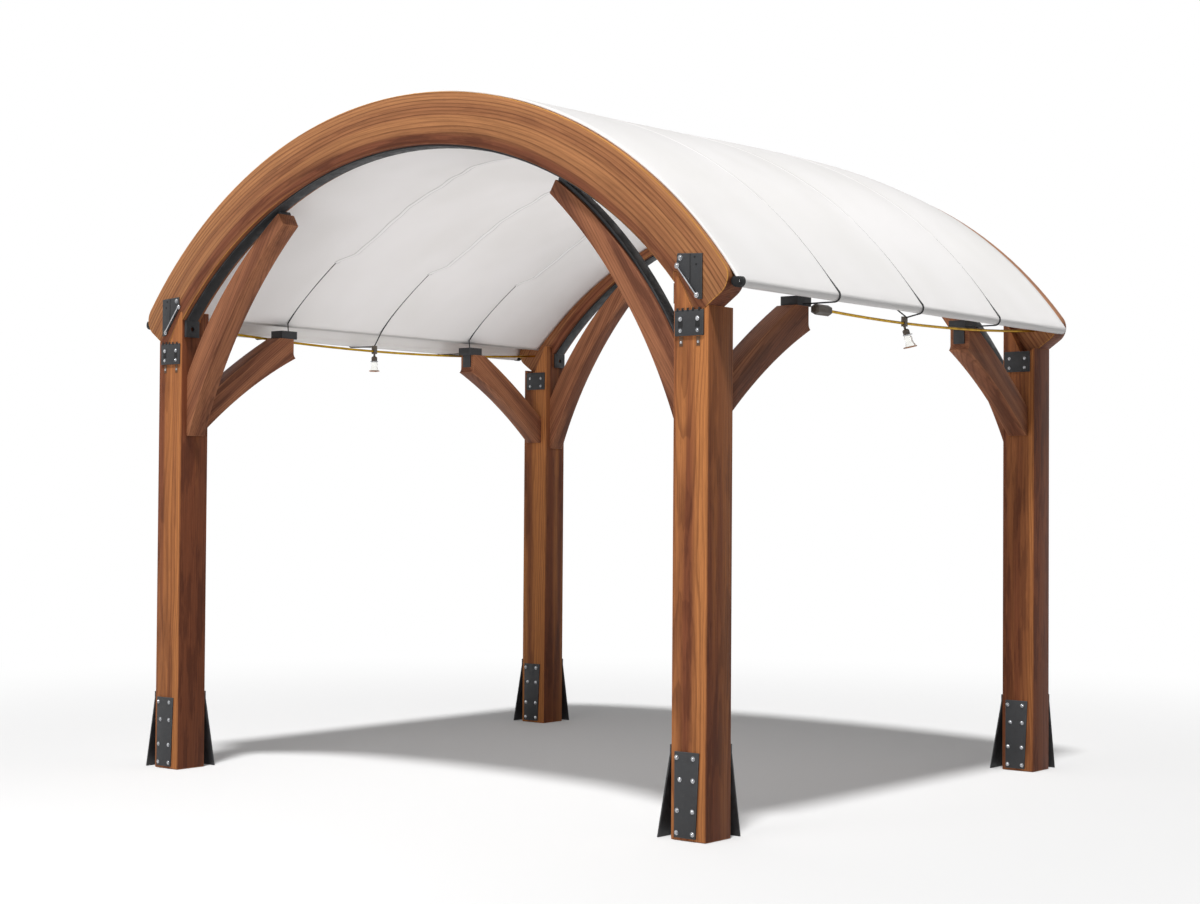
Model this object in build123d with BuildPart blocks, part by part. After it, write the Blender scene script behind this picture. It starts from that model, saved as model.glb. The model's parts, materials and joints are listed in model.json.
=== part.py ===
from build123d import *

import math
import os

# Garden gazebo, an open frame: four square posts carry two curved end arches,
# curved knee braces stiffen every corner, and a white cloth vault is stretched
# from arch to arch over a cloth lining. Two rolled hems close its eaves, three hoop
# cords hold it down, and a brass rod runs along each eave.
# Millimetres, +Z up. +X is to the right of someone who faces the front arch,
# and the front arch faces -Y. The origin is on the ground, at the centre of the box.

# Posts
post_side = 150.0
post_pitch_x = 2820.0
post_pitch_y = 2430.0
post_shoulder_drop = 42.0
post_tongue_rise = 38.0
post_tongue_thickness = 50.0
post_tongue_nib = 12.0

# Arches: the inner corners of an arch's ends sit at the seat height, a little inside
# the posts' outer faces, and its underside rises from there to the crown
arch_seat_height = 1822.0
arch_seat_inset = 55.0
arch_rise = 743.0
arch_depth = 202.0
arch_thickness = 100.0
arch_nose_radius = 70.0

# Flat steel bar under each arch, with a lug at each end
soffit_bar_width = 58.0
soffit_bar_thickness = 8.0
soffit_lug_width = 74.0
soffit_lug_height = 72.0
soffit_lug_thickness = 12.0
soffit_lug_hole_radius = 10.0

# Knee braces
knee_thickness = 90.0
knee_foot_width = 14.0

# Knee braces of the end frames, with a flat steel strap along their backs;
# the angles of the tip are shares of the arch's half angle
gable_heel_drop = 117.0
gable_heel_depth = 261.0
gable_tip_share = 0.476
gable_tip_cut_share = 0.564
gable_tip_depth = 57.0
gable_back_rise = 54.0
gable_belly_rise = 66.0
gable_strap_width = 58.0
gable_strap_thickness = 14.0

# Knee braces of the eaves, hung below the axis of the rolled hem
eave_seat_drop = 30.0
eave_heel_drop = 308.0
eave_heel_depth = 126.0
eave_seat_length = 84.0
eave_reach = 529.0
eave_back_rise = 12.0
eave_belly_rise = 22.0
eave_scallop_drop = 64.0
eave_scallop_depth = 4.0
eave_lip_drop = 88.0
eave_lip_reach = 14.0

# Steel bracket on the tip of each eave brace
bracket_width = 78.0
bracket_length = 90.0
bracket_height = 36.0
bracket_overhang = 24.0
bracket_strap_width = 50.0
bracket_strap_gap = 2.0
bracket_strap_thickness = 8.0

# Cloth vault, laid over the arches' backs and crowned between them, and its rolled hems;
# the shares of the crown are those at the front, middle and back hoop
canopy_lip = 20.0
canopy_thickness = 10.0
canopy_crown = 36.0
canopy_crown_shares = (0.25, 0.6, 1)
hem_radius = 19.0
hem_share = 0.997
hem_lap = 9.0

# Cloth lining between the arches, its crown over their undersides and its edges inside the hems
lining_thickness = 6.0
lining_lift = 28.0
lining_edge_inset = 150.0
lining_edge_rise = 32.0

# Hoop cords; the front and the middle one lie a little towards the front
cord_diameter = 8.0
cord_sides = 8
cord_bracket_inset = 8.0
front_hoop_shift = 43.0
middle_hoop_shift = 33.0

# Brass rods along the eaves
rod_diameter = 11.0
rod_seat_drop = 4.0
rod_sag = 12.0
rod_end_gap = 0.6
tensioner_flats = 36.0
tensioner_length = 105.0
tensioner_end_cut = 7.0

# Lamps on the rods; the right one hangs off the middle of its rod and leans
right_lamp_shift = 72.0
right_lamp_lean = 18.0
hanger_width = 18.0
hanger_length = 20.0
hanger_wall = 7.0
lamp_stem_radius = 5.0
lamp_stem_length = 12.0
lamp_cap_radius = 14.0
lamp_cap_height = 22.0
lamp_cap_bevel = 5.0
lamp_glass_wall = 2.5
lamp_glass_height = 52.0
lamp_neck_radius = 12.0
lamp_waist_radius = 15.0
lamp_rim_radius = 23.0
lamp_bulge_radius = 17.0
lamp_bulge_share = 0.3
lamp_waist_share = 0.55

# Steel plates on the post heads
plate_thickness = 6.0
gusset_width = 112.0
gusset_height = 166.0
gusset_outer_inset = 25.0
gusset_lift = 58.0
gusset_outline_shares = ((0, 0), (0, 0.96), (0.96, 1), (1, 0.72), (0.16, 0))
joint_plate_width = 124.0
joint_plate_height = 90.0
joint_plate_drop = 67.0
joint_plate_inner_inset = 8.0

# Steel plates on the post feet
foot_strap_height = 298.0
foot_strap_lift = 10.0
foot_strap_top_width = 105.0
foot_strap_bottom_width = 92.0
foot_strap_inset = 18.0
foot_flare_height = 330.0
foot_flare_grip = 30.0
foot_flare_reach = 55.0

# Clearance between round faces that seat on each other
fit_clearance = 0.3

# Worked-out places
half_post = post_side / 2
post_x = post_pitch_x / 2
inner_face_x = post_x - half_post
outer_face_x = post_x + half_post
outer_face_y = post_pitch_y / 2 + half_post
inner_face_y = post_pitch_y / 2 - half_post
grid_y = (plate_thickness - foot_flare_reach - plate_thickness) / 2
arch_seat_x = outer_face_x - arch_seat_inset
arch_inner_radius = (arch_rise**2 + arch_seat_x**2) / (2 * arch_rise)
arch_outer_radius = arch_inner_radius + arch_depth
arch_center_height = arch_seat_height + arch_rise - arch_inner_radius
arch_half_angle = math.degrees(math.atan2(arch_seat_x, arch_seat_height - arch_center_height))
soffit_height_at_post = arch_center_height + math.sqrt(arch_inner_radius**2 - inner_face_x**2)
post_shoulder_height = arch_seat_height - post_shoulder_drop
post_tongue_height = soffit_height_at_post + post_tongue_rise
arch_inner_face_y = outer_face_y - arch_thickness
soffit_bar_outer = arch_inner_radius - fit_clearance
soffit_bar_inner = soffit_bar_outer - soffit_bar_thickness
canopy_outer_radius = arch_outer_radius + fit_clearance + canopy_thickness
canopy_end_y = outer_face_y - canopy_lip
hem_orbit = canopy_outer_radius - hem_radius
hem_angle = hem_share * arch_half_angle
hem_x = hem_orbit * math.sin(math.radians(hem_angle))
hem_height = arch_center_height + hem_orbit * math.cos(math.radians(hem_angle))
cord_radius = cord_diameter / 2
cord_wrap_radius = hem_radius + fit_clearance + cord_radius
rod_radius = rod_diameter / 2
rod_x = post_x + knee_thickness / 2 + fit_clearance + rod_radius
gable_heel_height = arch_seat_height - gable_heel_drop
gable_foot_height = gable_heel_height - gable_heel_depth
gable_tip_angle = gable_tip_share * arch_half_angle
gable_tip_cut_angle = gable_tip_cut_share * arch_half_angle
eave_seat_height = hem_height - eave_seat_drop
eave_heel_height = eave_seat_height - eave_heel_drop
eave_foot_height = eave_heel_height - eave_heel_depth
eave_scallop_height = eave_seat_height - eave_scallop_drop
eave_lip_height = eave_seat_height - eave_lip_drop
eave_tip_y = inner_face_y - eave_reach
bracket_end_y = eave_tip_y - bracket_overhang
bracket_strap_drop = eave_scallop_drop - bracket_strap_gap
hoop_y = bracket_end_y + cord_bracket_inset
rod_mid_height = eave_seat_height - rod_seat_drop - rod_sag
rod_bend_radius = (eave_tip_y**2 + rod_sag**2) / (2 * rod_sag)

HANDS = {"left": -1, "right": 1}
ENDS = {"front": -1, "back": 1}
LAMPS = {"left": (0, 0), "right": (right_lamp_shift, right_lamp_lean)}
HOOPS = {"front": -hoop_y - front_hoop_shift, "middle": -middle_hoop_shift, "back": hoop_y}
CROWNS = {
    -canopy_end_y: 0,
    **{y: canopy_crown * share for y, share in zip(HOOPS.values(), canopy_crown_shares)},
    canopy_end_y: 0,
}


def save(piece, node):
    """Label a finished piece and write it under its node's name."""
    piece.part.label = node
    export_step(piece.part, f"parts/{node}.step")


def polar(radius, angle):
    """Point (X, Z) at a radius about the arch centre, the angle taken from straight up."""
    turn = math.radians(angle)
    return (radius * math.sin(turn), arch_center_height + radius * math.cos(turn))


def flipped(point, hand):
    """Point (X, Z) on the left or the right of the middle."""
    return (hand * point[0], point[1])


def upright(y):
    """Plane for outlines drawn in X and Z at depth y, with its normal towards -Y."""
    return Plane.XZ.offset(-(grid_y + y))


def frame_slice(end, near, far):
    """Plane and thickness of a slice of an end frame, near and far from its outer face."""
    first = end * (outer_face_y - near)
    second = end * (outer_face_y - far)
    return upright(max(first, second)), abs(first - second)


def eave_slice(hand, width):
    """Plane for outlines in Y and Z, at the -X side of a slice centred over the posts."""
    return Plane.YZ.offset(hand * post_x - width / 2)


def rod_height(y):
    """Height of a rod's axis at a distance y from the middle of the eave."""
    return rod_mid_height + rod_bend_radius - math.sqrt(rod_bend_radius**2 - y**2)


def vault_arc(crown):
    """Centre height and outer radius of the cloth's arc where its crown is lifted by crown."""
    top = arch_center_height + canopy_outer_radius + crown - hem_radius
    center_height = (top**2 - hem_x**2 - hem_height**2) / (2 * (top - hem_height))
    return center_height, top + hem_radius - center_height


def hem_angle_from(center_height):
    """Angle of a hem's axis about a centre over the middle, taken from straight up."""
    return math.degrees(math.atan2(hem_x, hem_height - center_height))


def band(plane, inner, outer, first_angle, last_angle, center_height=arch_center_height):
    """Ring segment about a centre over the middle, with its angles taken from straight up."""
    start = 90 - last_angle
    sweep_angle = last_angle - first_angle
    center = (0, center_height)
    with BuildSketch(plane) as outline:
        with BuildLine():
            top = CenterArc(center, outer, start, sweep_angle)
            bottom = CenterArc(center, inner, start, sweep_angle)
            Line(top @ 0, bottom @ 0)
            Line(top @ 1, bottom @ 1)
        make_face()
    return outline.sketch


def roll(plane, hand, clearance):
    """Round outline of a rolled hem, widened by a clearance."""
    with BuildSketch(plane) as outline:
        with Locations((hand * hem_x, hem_height)):
            Circle(hem_radius + clearance)
    return outline.sketch


def tongue(plane, hand):
    """Outline of a post head that laps an arch: a tongue with a slanted seam."""
    seam_foot = (arch_seat_x, arch_seat_height)
    outer_top = polar(outer_face_x / math.sin(math.radians(arch_half_angle)), arch_half_angle)
    corners = (
        (inner_face_x, post_shoulder_height),
        (inner_face_x, post_tongue_height),
        (inner_face_x + post_tongue_nib, post_tongue_height),
        seam_foot,
        outer_top,
        (outer_face_x, post_shoulder_height),
    )
    with BuildSketch(plane) as outline:
        with BuildLine():
            Polyline([flipped(corner, hand) for corner in corners], close=True)
        make_face()
    return outline.sketch


def saddle(plane, hand):
    """Outline of a post head that stops under an arch and cradles its inner curve."""
    seat_radius = arch_inner_radius - fit_clearance
    seat_height = arch_center_height + math.sqrt(seat_radius**2 - inner_face_x**2)
    seat_start = (inner_face_x, seat_height)
    seat_end = polar(seat_radius, arch_half_angle)
    seat_middle_angle = math.degrees(math.asin((seat_start[0] + seat_end[0]) / (2 * seat_radius)))
    seat_middle = polar(seat_radius, seat_middle_angle)
    outer_top = polar(outer_face_x / math.sin(math.radians(arch_half_angle)), arch_half_angle)
    rest = (
        seat_end,
        outer_top,
        (outer_face_x, post_shoulder_height),
        (inner_face_x, post_shoulder_height),
        seat_start,
    )
    with BuildSketch(plane) as outline:
        with BuildLine():
            ThreePointArc(*(flipped(corner, hand) for corner in (seat_start, seat_middle, seat_end)))
            Polyline([flipped(corner, hand) for corner in rest])
        make_face()
    return outline.sketch


def build_post(hand, end):
    """Square post whose head is a fork: tongue, saddle under the arch, and rear cheek."""
    layers = (
        (0, post_tongue_thickness, tongue),
        (post_tongue_thickness, arch_thickness, saddle),
        (arch_thickness, post_side, tongue),
    )
    with BuildPart() as piece:
        with BuildSketch():
            with Locations((hand * post_x, grid_y + end * post_pitch_y / 2)):
                Rectangle(post_side, post_side)
        extrude(amount=post_shoulder_height)
        for near, far, outline in layers:
            plane, thickness = frame_slice(end, near, far)
            extrude(outline(plane, hand), amount=thickness)
    return piece


def build_arch(end):
    """Curved arch with rounded noses, halved where the post tongues lap its face."""
    plane, thickness = frame_slice(end, 0, arch_thickness)
    tongue_plane, tongue_thickness = frame_slice(end, 0, post_tongue_thickness)
    hem_plane, hem_length = frame_slice(end, canopy_lip, arch_thickness)
    with BuildPart() as piece:
        extrude(
            band(plane, arch_inner_radius, arch_outer_radius, -arch_half_angle, arch_half_angle),
            amount=thickness,
        )
        tips = piece.edges().filter_by(Axis.Y).group_by(Axis.Z)[1]
        fillet(tips, arch_nose_radius)
        for hand in HANDS.values():
            extrude(tongue(tongue_plane, hand), amount=tongue_thickness, mode=Mode.SUBTRACT)
            extrude(roll(hem_plane, hand, fit_clearance), amount=hem_length, mode=Mode.SUBTRACT)
    return piece


def build_soffit_bar(end):
    """Flat bar curved under an arch from post to post, with a drilled lug on each post."""
    margin = (arch_thickness - soffit_bar_width) / 2
    plane, width = frame_slice(end, margin, margin + soffit_bar_width)
    lug_margin = (arch_thickness - soffit_lug_width) / 2
    lug_plane, lug_width = frame_slice(end, lug_margin, lug_margin + soffit_lug_width)
    bar_end_angle = math.degrees(math.asin(inner_face_x / soffit_bar_inner))
    lug_top = arch_center_height + math.sqrt(soffit_bar_outer**2 - inner_face_x**2)
    lug_middle_y = grid_y + end * (outer_face_y - arch_thickness / 2)
    with BuildPart() as piece:
        extrude(
            band(plane, soffit_bar_inner, soffit_bar_outer, -bar_end_angle, bar_end_angle),
            amount=width,
        )
        with BuildSketch(plane):
            with Locations((0, arch_center_height)):
                Rectangle(2 * inner_face_x, 2 * arch_outer_radius)
        extrude(amount=width, mode=Mode.INTERSECT)
        for hand in HANDS.values():
            with BuildSketch(lug_plane):
                with Locations((hand * (inner_face_x - soffit_lug_thickness / 2), lug_top)):
                    Rectangle(soffit_lug_thickness, soffit_lug_height, align=(Align.CENTER, Align.MAX))
            extrude(amount=lug_width)
            with BuildSketch(Plane.YZ.offset(hand * inner_face_x)):
                with Locations((lug_middle_y, lug_top - soffit_lug_height / 2)):
                    Circle(soffit_lug_hole_radius)
            extrude(amount=-hand * soffit_lug_thickness, mode=Mode.SUBTRACT)
    return piece


def gable_line(lift):
    """Ends of a curve along a gable brace's back, lifted off the timber by lift."""
    cut = math.radians(gable_tip_cut_angle)
    tip_x, tip_z = polar(soffit_bar_inner - fit_clearance, gable_tip_angle)
    drop = gable_strap_thickness - lift
    tip = (tip_x - drop * math.sin(cut), tip_z - drop * math.cos(cut))
    return tip, (inner_face_x, gable_heel_height + lift)


def build_gable_brace(hand, end):
    """Curved knee brace from a post's inner face up to the arch's underside."""
    margin = (post_side - knee_thickness) / 2
    plane, thickness = frame_slice(end, margin, margin + knee_thickness)
    cut = math.radians(gable_tip_cut_angle)
    tip, heel = gable_line(0)
    toe = (tip[0] - gable_tip_depth * math.sin(cut), tip[1] - gable_tip_depth * math.cos(cut))
    foot = (inner_face_x - knee_foot_width, gable_foot_height)
    foot_corner = (inner_face_x, gable_foot_height)
    with BuildPart() as piece:
        with BuildSketch(plane):
            with BuildLine():
                SagittaArc(flipped(tip, hand), flipped(heel, hand), hand * gable_back_rise)
                Polyline([flipped(corner, hand) for corner in (heel, foot_corner, foot)])
                SagittaArc(flipped(foot, hand), flipped(toe, hand), -hand * gable_belly_rise)
                Line(flipped(toe, hand), flipped(tip, hand))
            make_face()
        extrude(amount=thickness)
    return piece


def build_gable_strap(hand, end):
    """Flat steel strap along the back of a gable brace, from the soffit bar to the post."""
    margin = (post_side - gable_strap_width) / 2
    plane, width = frame_slice(end, margin, margin + gable_strap_width)
    low_tip, low_heel = gable_line(fit_clearance)
    high_tip, high_heel = gable_line(gable_strap_thickness)
    with BuildPart() as piece:
        with BuildSketch(plane):
            with BuildLine():
                SagittaArc(flipped(low_tip, hand), flipped(low_heel, hand), hand * gable_back_rise)
                Line(flipped(low_heel, hand), flipped(high_heel, hand))
                SagittaArc(flipped(high_heel, hand), flipped(high_tip, hand), -hand * gable_back_rise)
                Line(flipped(high_tip, hand), flipped(low_tip, hand))
            make_face()
        extrude(amount=width)
    return piece


def along_eave(end, y, z):
    """Point (Y, Z) on an eave's plane, y measured outwards from the middle of the eave."""
    return (grid_y + end * y, z)


def build_eave_brace(hand, end):
    """Curved knee brace from a post towards the middle of the eave, with a scalloped tip."""
    heel = along_eave(end, inner_face_y, eave_heel_height)
    foot_corner = along_eave(end, inner_face_y, eave_foot_height)
    foot = along_eave(end, inner_face_y - knee_foot_width, eave_foot_height)
    lip = along_eave(end, eave_tip_y - eave_lip_reach, eave_lip_height)
    scallop = along_eave(end, eave_tip_y, eave_scallop_height)
    seat_tip = along_eave(end, eave_tip_y, eave_seat_height)
    seat_back = along_eave(end, eave_tip_y + eave_seat_length, eave_seat_height)
    with BuildPart() as piece:
        with BuildSketch(eave_slice(hand, knee_thickness)):
            with BuildLine():
                SagittaArc(seat_back, heel, end * eave_back_rise)
                Polyline(heel, foot_corner, foot)
                SagittaArc(foot, lip, -end * eave_belly_rise)
                SagittaArc(lip, scallop, -end * eave_scallop_depth)
                Polyline(scallop, seat_tip, seat_back)
            make_face()
        extrude(amount=knee_thickness)
    return piece


def build_eave_bracket(hand, end):
    """Steel bar across an eave brace's seat, with a strap down the brace's end grain."""
    tip_corner = along_eave(end, bracket_end_y, eave_seat_height)
    strap_corner = along_eave(end, eave_tip_y - bracket_strap_thickness, eave_seat_height)
    near_tip = Align.MIN if end > 0 else Align.MAX
    with BuildPart() as piece:
        with BuildSketch(eave_slice(hand, bracket_width)):
            with Locations(tip_corner):
                Rectangle(bracket_length, bracket_height, align=(near_tip, Align.MIN))
        extrude(amount=bracket_width)
        with BuildSketch(eave_slice(hand, bracket_strap_width)):
            with Locations(strap_corner):
                Rectangle(bracket_strap_thickness, bracket_strap_drop, align=(near_tip, Align.MAX))
        extrude(amount=bracket_strap_width)
    return piece


def vault_section(y, crown):
    """Ring segment of cloth across the vault at depth y, ending on the rolled hems."""
    center_height, outer = vault_arc(crown)
    last = hem_angle_from(center_height) - math.degrees(hem_lap / outer)
    return band(upright(y), outer - canopy_thickness, outer, -last, last, center_height)


def build_canopy():
    """Cloth vault stretched over the two arches, crowned between them."""
    with BuildPart() as piece:
        loft([vault_section(y, crown) for y, crown in CROWNS.items()])
        for hand in HANDS.values():
            extrude(
                roll(upright(canopy_end_y), hand, fit_clearance),
                amount=2 * canopy_end_y,
                mode=Mode.SUBTRACT,
            )
    return piece


def build_lining():
    """Cloth lining from arch to arch, an arc through its crown and its two lower edges."""
    top = arch_seat_height + arch_rise + lining_lift
    edge_x = hem_x - lining_edge_inset
    edge_drop = top - hem_height - lining_edge_rise
    outer = (edge_x**2 + edge_drop**2) / (2 * edge_drop)
    last = math.degrees(math.asin(edge_x / outer))
    plane = upright(arch_inner_face_y)
    with BuildPart() as piece:
        extrude(
            band(plane, outer - lining_thickness, outer, -last, last, top - outer),
            amount=2 * arch_inner_face_y,
        )
    return piece


def build_hem(hand):
    """Rolled hem along an eave, from arch to arch."""
    with BuildPart() as piece:
        extrude(roll(upright(canopy_end_y), hand, 0), amount=2 * canopy_end_y)
    return piece


def build_hoop_cord(y, end_x, end_shifts):
    """Cord over the vault from eave to eave, round both hems and in to what holds it."""
    center_height, outer = vault_arc(CROWNS[y])
    last_angle = hem_angle_from(center_height)
    exit_height = hem_height - cord_wrap_radius
    wrap_angle = 180 - last_angle
    cord_orbit = outer + fit_clearance + cord_radius
    with BuildPart() as piece:
        with BuildLine(upright(y)) as route:
            CenterArc((hem_x, hem_height), cord_wrap_radius, -90, wrap_angle)
            CenterArc((0, center_height), cord_orbit, 90 - last_angle, 2 * last_angle)
            CenterArc((-hem_x, hem_height), cord_wrap_radius, 90 + last_angle, wrap_angle)
        paths = [route.line]
        for hand, shift in zip(HANDS.values(), end_shifts):
            slant_share = shift / math.hypot(hem_x - end_x, shift)
            tail_start = (hand * hem_x, grid_y + y, exit_height)
            tail_end = (hand * (end_x + cord_radius * slant_share), grid_y + y + shift, exit_height)
            with BuildLine() as tail:
                Line(tail_start, tail_end)
            paths.append(tail.line)
        for path in paths:
            with BuildSketch(Plane(origin=path @ 0, z_dir=path % 0)):
                RegularPolygon(cord_radius, cord_sides)
            sweep(path=path)
    return piece


def build_rod(hand, first_y, last_y):
    """Brass rod along an eave, bowed down a little between its brackets."""
    middle_y = (first_y + last_y) / 2
    stations = [
        (hand * rod_x, grid_y + y, rod_height(y)) for y in (first_y, middle_y, last_y)
    ]
    with BuildPart() as piece:
        with BuildLine() as route:
            ThreePointArc(*stations)
        with BuildSketch(Plane(origin=route.line @ 0, z_dir=route.line % 0)):
            Circle(rod_radius)
        sweep(path=route.line)
    return piece


def build_tensioner(first_y, last_y):
    """Six-sided tensioner between the front right bracket and the end of its rod."""
    axis_height = rod_height(last_y)
    with BuildPart() as piece:
        with BuildSketch(upright(last_y)):
            with Locations((rod_x, axis_height)):
                RegularPolygon(tensioner_flats / 2, 6, major_radius=False, rotation=30)
        extrude(amount=last_y - first_y)
        ends = piece.faces().filter_by(Axis.Y)
        chamfer(ends.edges(), tensioner_end_cut)
    return piece


def lamp_plane(hand):
    """Plane with its Y axis down a lamp's axis, from the foot of the lamp's block."""
    shift, lean = LAMPS["right" if hand > 0 else "left"]
    turn = math.radians(lean)
    foot = (hand * rod_x, grid_y + shift, rod_height(shift) - rod_radius - hanger_wall)
    across = Vector(1, -1, 0).normalized()
    down = Vector(math.sin(turn), math.sin(turn), -math.sqrt(2) * math.cos(turn)).normalized()
    return Plane(origin=foot, x_dir=across, z_dir=across.cross(down))


def lamp_outline(plane, corners):
    """Half section of a lamp, its corners given as radii and depths."""
    with BuildSketch(plane) as outline:
        with BuildLine():
            Polyline(corners, close=True)
        make_face()
    return outline.sketch


def build_lamp_hanger(hand):
    """Block on a rod, with a stem and a round cap for the lamp's glass."""
    plane = lamp_plane(hand)
    foot = plane.origin
    cap_top = lamp_stem_length + lamp_cap_bevel
    cap_bottom = lamp_stem_length + lamp_cap_height
    stem_and_cap = (
        (0, -lamp_stem_radius),
        (lamp_stem_radius, -lamp_stem_radius),
        (lamp_stem_radius, lamp_stem_length),
        (lamp_cap_radius - lamp_cap_bevel, lamp_stem_length),
        (lamp_cap_radius, cap_top),
        (lamp_cap_radius, cap_bottom),
        (0, cap_bottom),
    )
    with BuildPart() as piece:
        with BuildSketch(Plane.XY.offset(foot.Z)):
            with Locations((foot.X, foot.Y)):
                Rectangle(hanger_width, hanger_length)
        extrude(amount=hem_height - hem_radius - foot.Z)
        with BuildSketch(Plane.XZ.offset(-(foot.Y + hanger_length / 2))):
            with Locations((foot.X, foot.Z + hanger_wall + rod_radius)):
                Circle(rod_radius + fit_clearance)
        extrude(amount=hanger_length, mode=Mode.SUBTRACT)
        revolve(lamp_outline(plane, stem_and_cap), axis=Axis(plane.origin, plane.y_dir))
    return piece


def build_lamp_glass(hand):
    """Clear glass of a lamp: a bulging neck that flares to an open rim."""
    top = lamp_stem_length + lamp_cap_height
    outside = (
        (lamp_neck_radius, top),
        (lamp_bulge_radius, top + lamp_bulge_share * lamp_glass_height),
        (lamp_waist_radius, top + lamp_waist_share * lamp_glass_height),
        (lamp_rim_radius, top + lamp_glass_height),
    )
    inside = [(radius - lamp_glass_wall, depth) for radius, depth in reversed(outside)]
    plane = lamp_plane(hand)
    with BuildPart() as piece:
        revolve(lamp_outline(plane, (*outside, *inside)), axis=Axis(plane.origin, plane.y_dir))
    return piece


def build_head_plates(hand, end):
    """Plates on a post head: a gusset over the slanted seam and a joint plate each side."""
    outer_plane, thickness = frame_slice(end, -plate_thickness, 0)
    inner_plane, _ = frame_slice(end, post_side, post_side + plate_thickness)
    gusset_x = outer_face_x - gusset_outer_inset
    gusset = [
        (gusset_x - gusset_width * across, arch_seat_height + gusset_lift + gusset_height * up)
        for across, up in gusset_outline_shares
    ]
    joint_x = inner_face_x + joint_plate_inner_inset + joint_plate_width / 2
    joint_z = arch_seat_height - joint_plate_drop + joint_plate_height / 2
    with BuildPart() as piece:
        with BuildSketch(outer_plane):
            with BuildLine():
                Polyline([flipped(corner, hand) for corner in gusset], close=True)
            make_face()
        extrude(amount=thickness)
        for plane in (outer_plane, inner_plane):
            with BuildSketch(plane):
                with Locations((hand * joint_x, joint_z)):
                    Rectangle(joint_plate_width, joint_plate_height)
            extrude(amount=thickness)
    return piece


def flare(base_plane, start):
    """Outline of a leaning foot plate: a grip flat on the post, then a slope to the ground."""
    corners = (
        (0, foot_flare_height),
        (0, foot_flare_height - foot_flare_grip),
        (foot_flare_reach, 0),
        (foot_flare_reach + plate_thickness, 0),
        (plate_thickness, foot_flare_height - foot_flare_grip),
        (plate_thickness, foot_flare_height),
    )
    with BuildSketch(base_plane) as outline:
        with BuildLine():
            Polyline([(start + corner[0], corner[1]) for corner in corners], close=True)
        make_face()
    return outline.sketch


def build_foot_plates(hand, end):
    """Plates on a post foot: a tapered strap in front, leaning plates at left and behind."""
    center_x = hand * post_x
    center_y = end * post_pitch_y / 2
    strap_left = center_x - half_post + foot_strap_inset
    strap_top = foot_strap_lift + foot_strap_height
    strap = (
        (strap_left, foot_strap_lift),
        (strap_left, strap_top),
        (strap_left + foot_strap_top_width, strap_top),
        (strap_left + foot_strap_bottom_width, foot_strap_lift),
    )
    left_plane = Plane(
        origin=(center_x - half_post, grid_y + center_y + half_post, 0), x_dir=(-1, 0, 0), z_dir=(0, 1, 0)
    )
    back_plane = Plane.YZ.offset(center_x - half_post)
    with BuildPart() as piece:
        with BuildSketch(upright(center_y - half_post)):
            with BuildLine():
                Polyline(*strap, close=True)
            make_face()
        extrude(amount=plate_thickness)
        extrude(flare(left_plane, 0), amount=-post_side)
        extrude(flare(back_plane, grid_y + center_y + half_post), amount=post_side)
    return piece


def build_all():
    """Make every piece and write it to its own file."""
    os.makedirs("parts", exist_ok=True)
    for end_name, end in ENDS.items():
        save(build_arch(end), f"{end_name}_arch")
        save(build_soffit_bar(end), f"{end_name}_soffit_bar")
        for hand_name, hand in HANDS.items():
            corner = f"{end_name}_{hand_name}"
            save(build_post(hand, end), f"{corner}_post")
            save(build_gable_brace(hand, end), f"{corner}_gable_brace")
            save(build_gable_strap(hand, end), f"{corner}_gable_strap")
            save(build_eave_brace(hand, end), f"{corner}_eave_brace")
            save(build_eave_bracket(hand, end), f"{corner}_eave_bracket")
            save(build_head_plates(hand, end), f"{corner}_head_plates")
            save(build_foot_plates(hand, end), f"{corner}_foot_plates")
    save(build_canopy(), "canopy")
    save(build_lining(), "lining")
    rod_end_y = arch_inner_face_y - rod_end_gap
    tensioner_end_y = -bracket_end_y + tensioner_length
    rod_starts = {"left": -rod_end_y, "right": tensioner_end_y + fit_clearance}
    for hand_name, hand in HANDS.items():
        save(build_hem(hand), f"{hand_name}_hem")
        save(build_rod(hand, rod_starts[hand_name], rod_end_y), f"{hand_name}_rod")
        save(build_lamp_hanger(hand), f"{hand_name}_lamp_hanger")
        save(build_lamp_glass(hand), f"{hand_name}_lamp_glass")
    save(build_tensioner(-bracket_end_y, tensioner_end_y), "rod_tensioner")
    bracket_face_x = post_x + bracket_width / 2
    hanger_face_x = rod_x + hanger_width / 2
    middle_shifts = [shift + middle_hoop_shift for shift, _ in LAMPS.values()]
    save(build_hoop_cord(HOOPS["front"], bracket_face_x, (0, 0)), "front_hoop_cord")
    save(build_hoop_cord(HOOPS["middle"], hanger_face_x, middle_shifts), "middle_hoop_cord")
    save(build_hoop_cord(HOOPS["back"], bracket_face_x, (0, 0)), "back_hoop_cord")


build_all()
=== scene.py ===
import json
import logging
import math
from collections.abc import Iterator, Sequence
from contextlib import contextmanager
from dataclasses import dataclass, field
from enum import Enum
from typing import Any

import bpy
from mathutils import Matrix, Vector, noise

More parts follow.
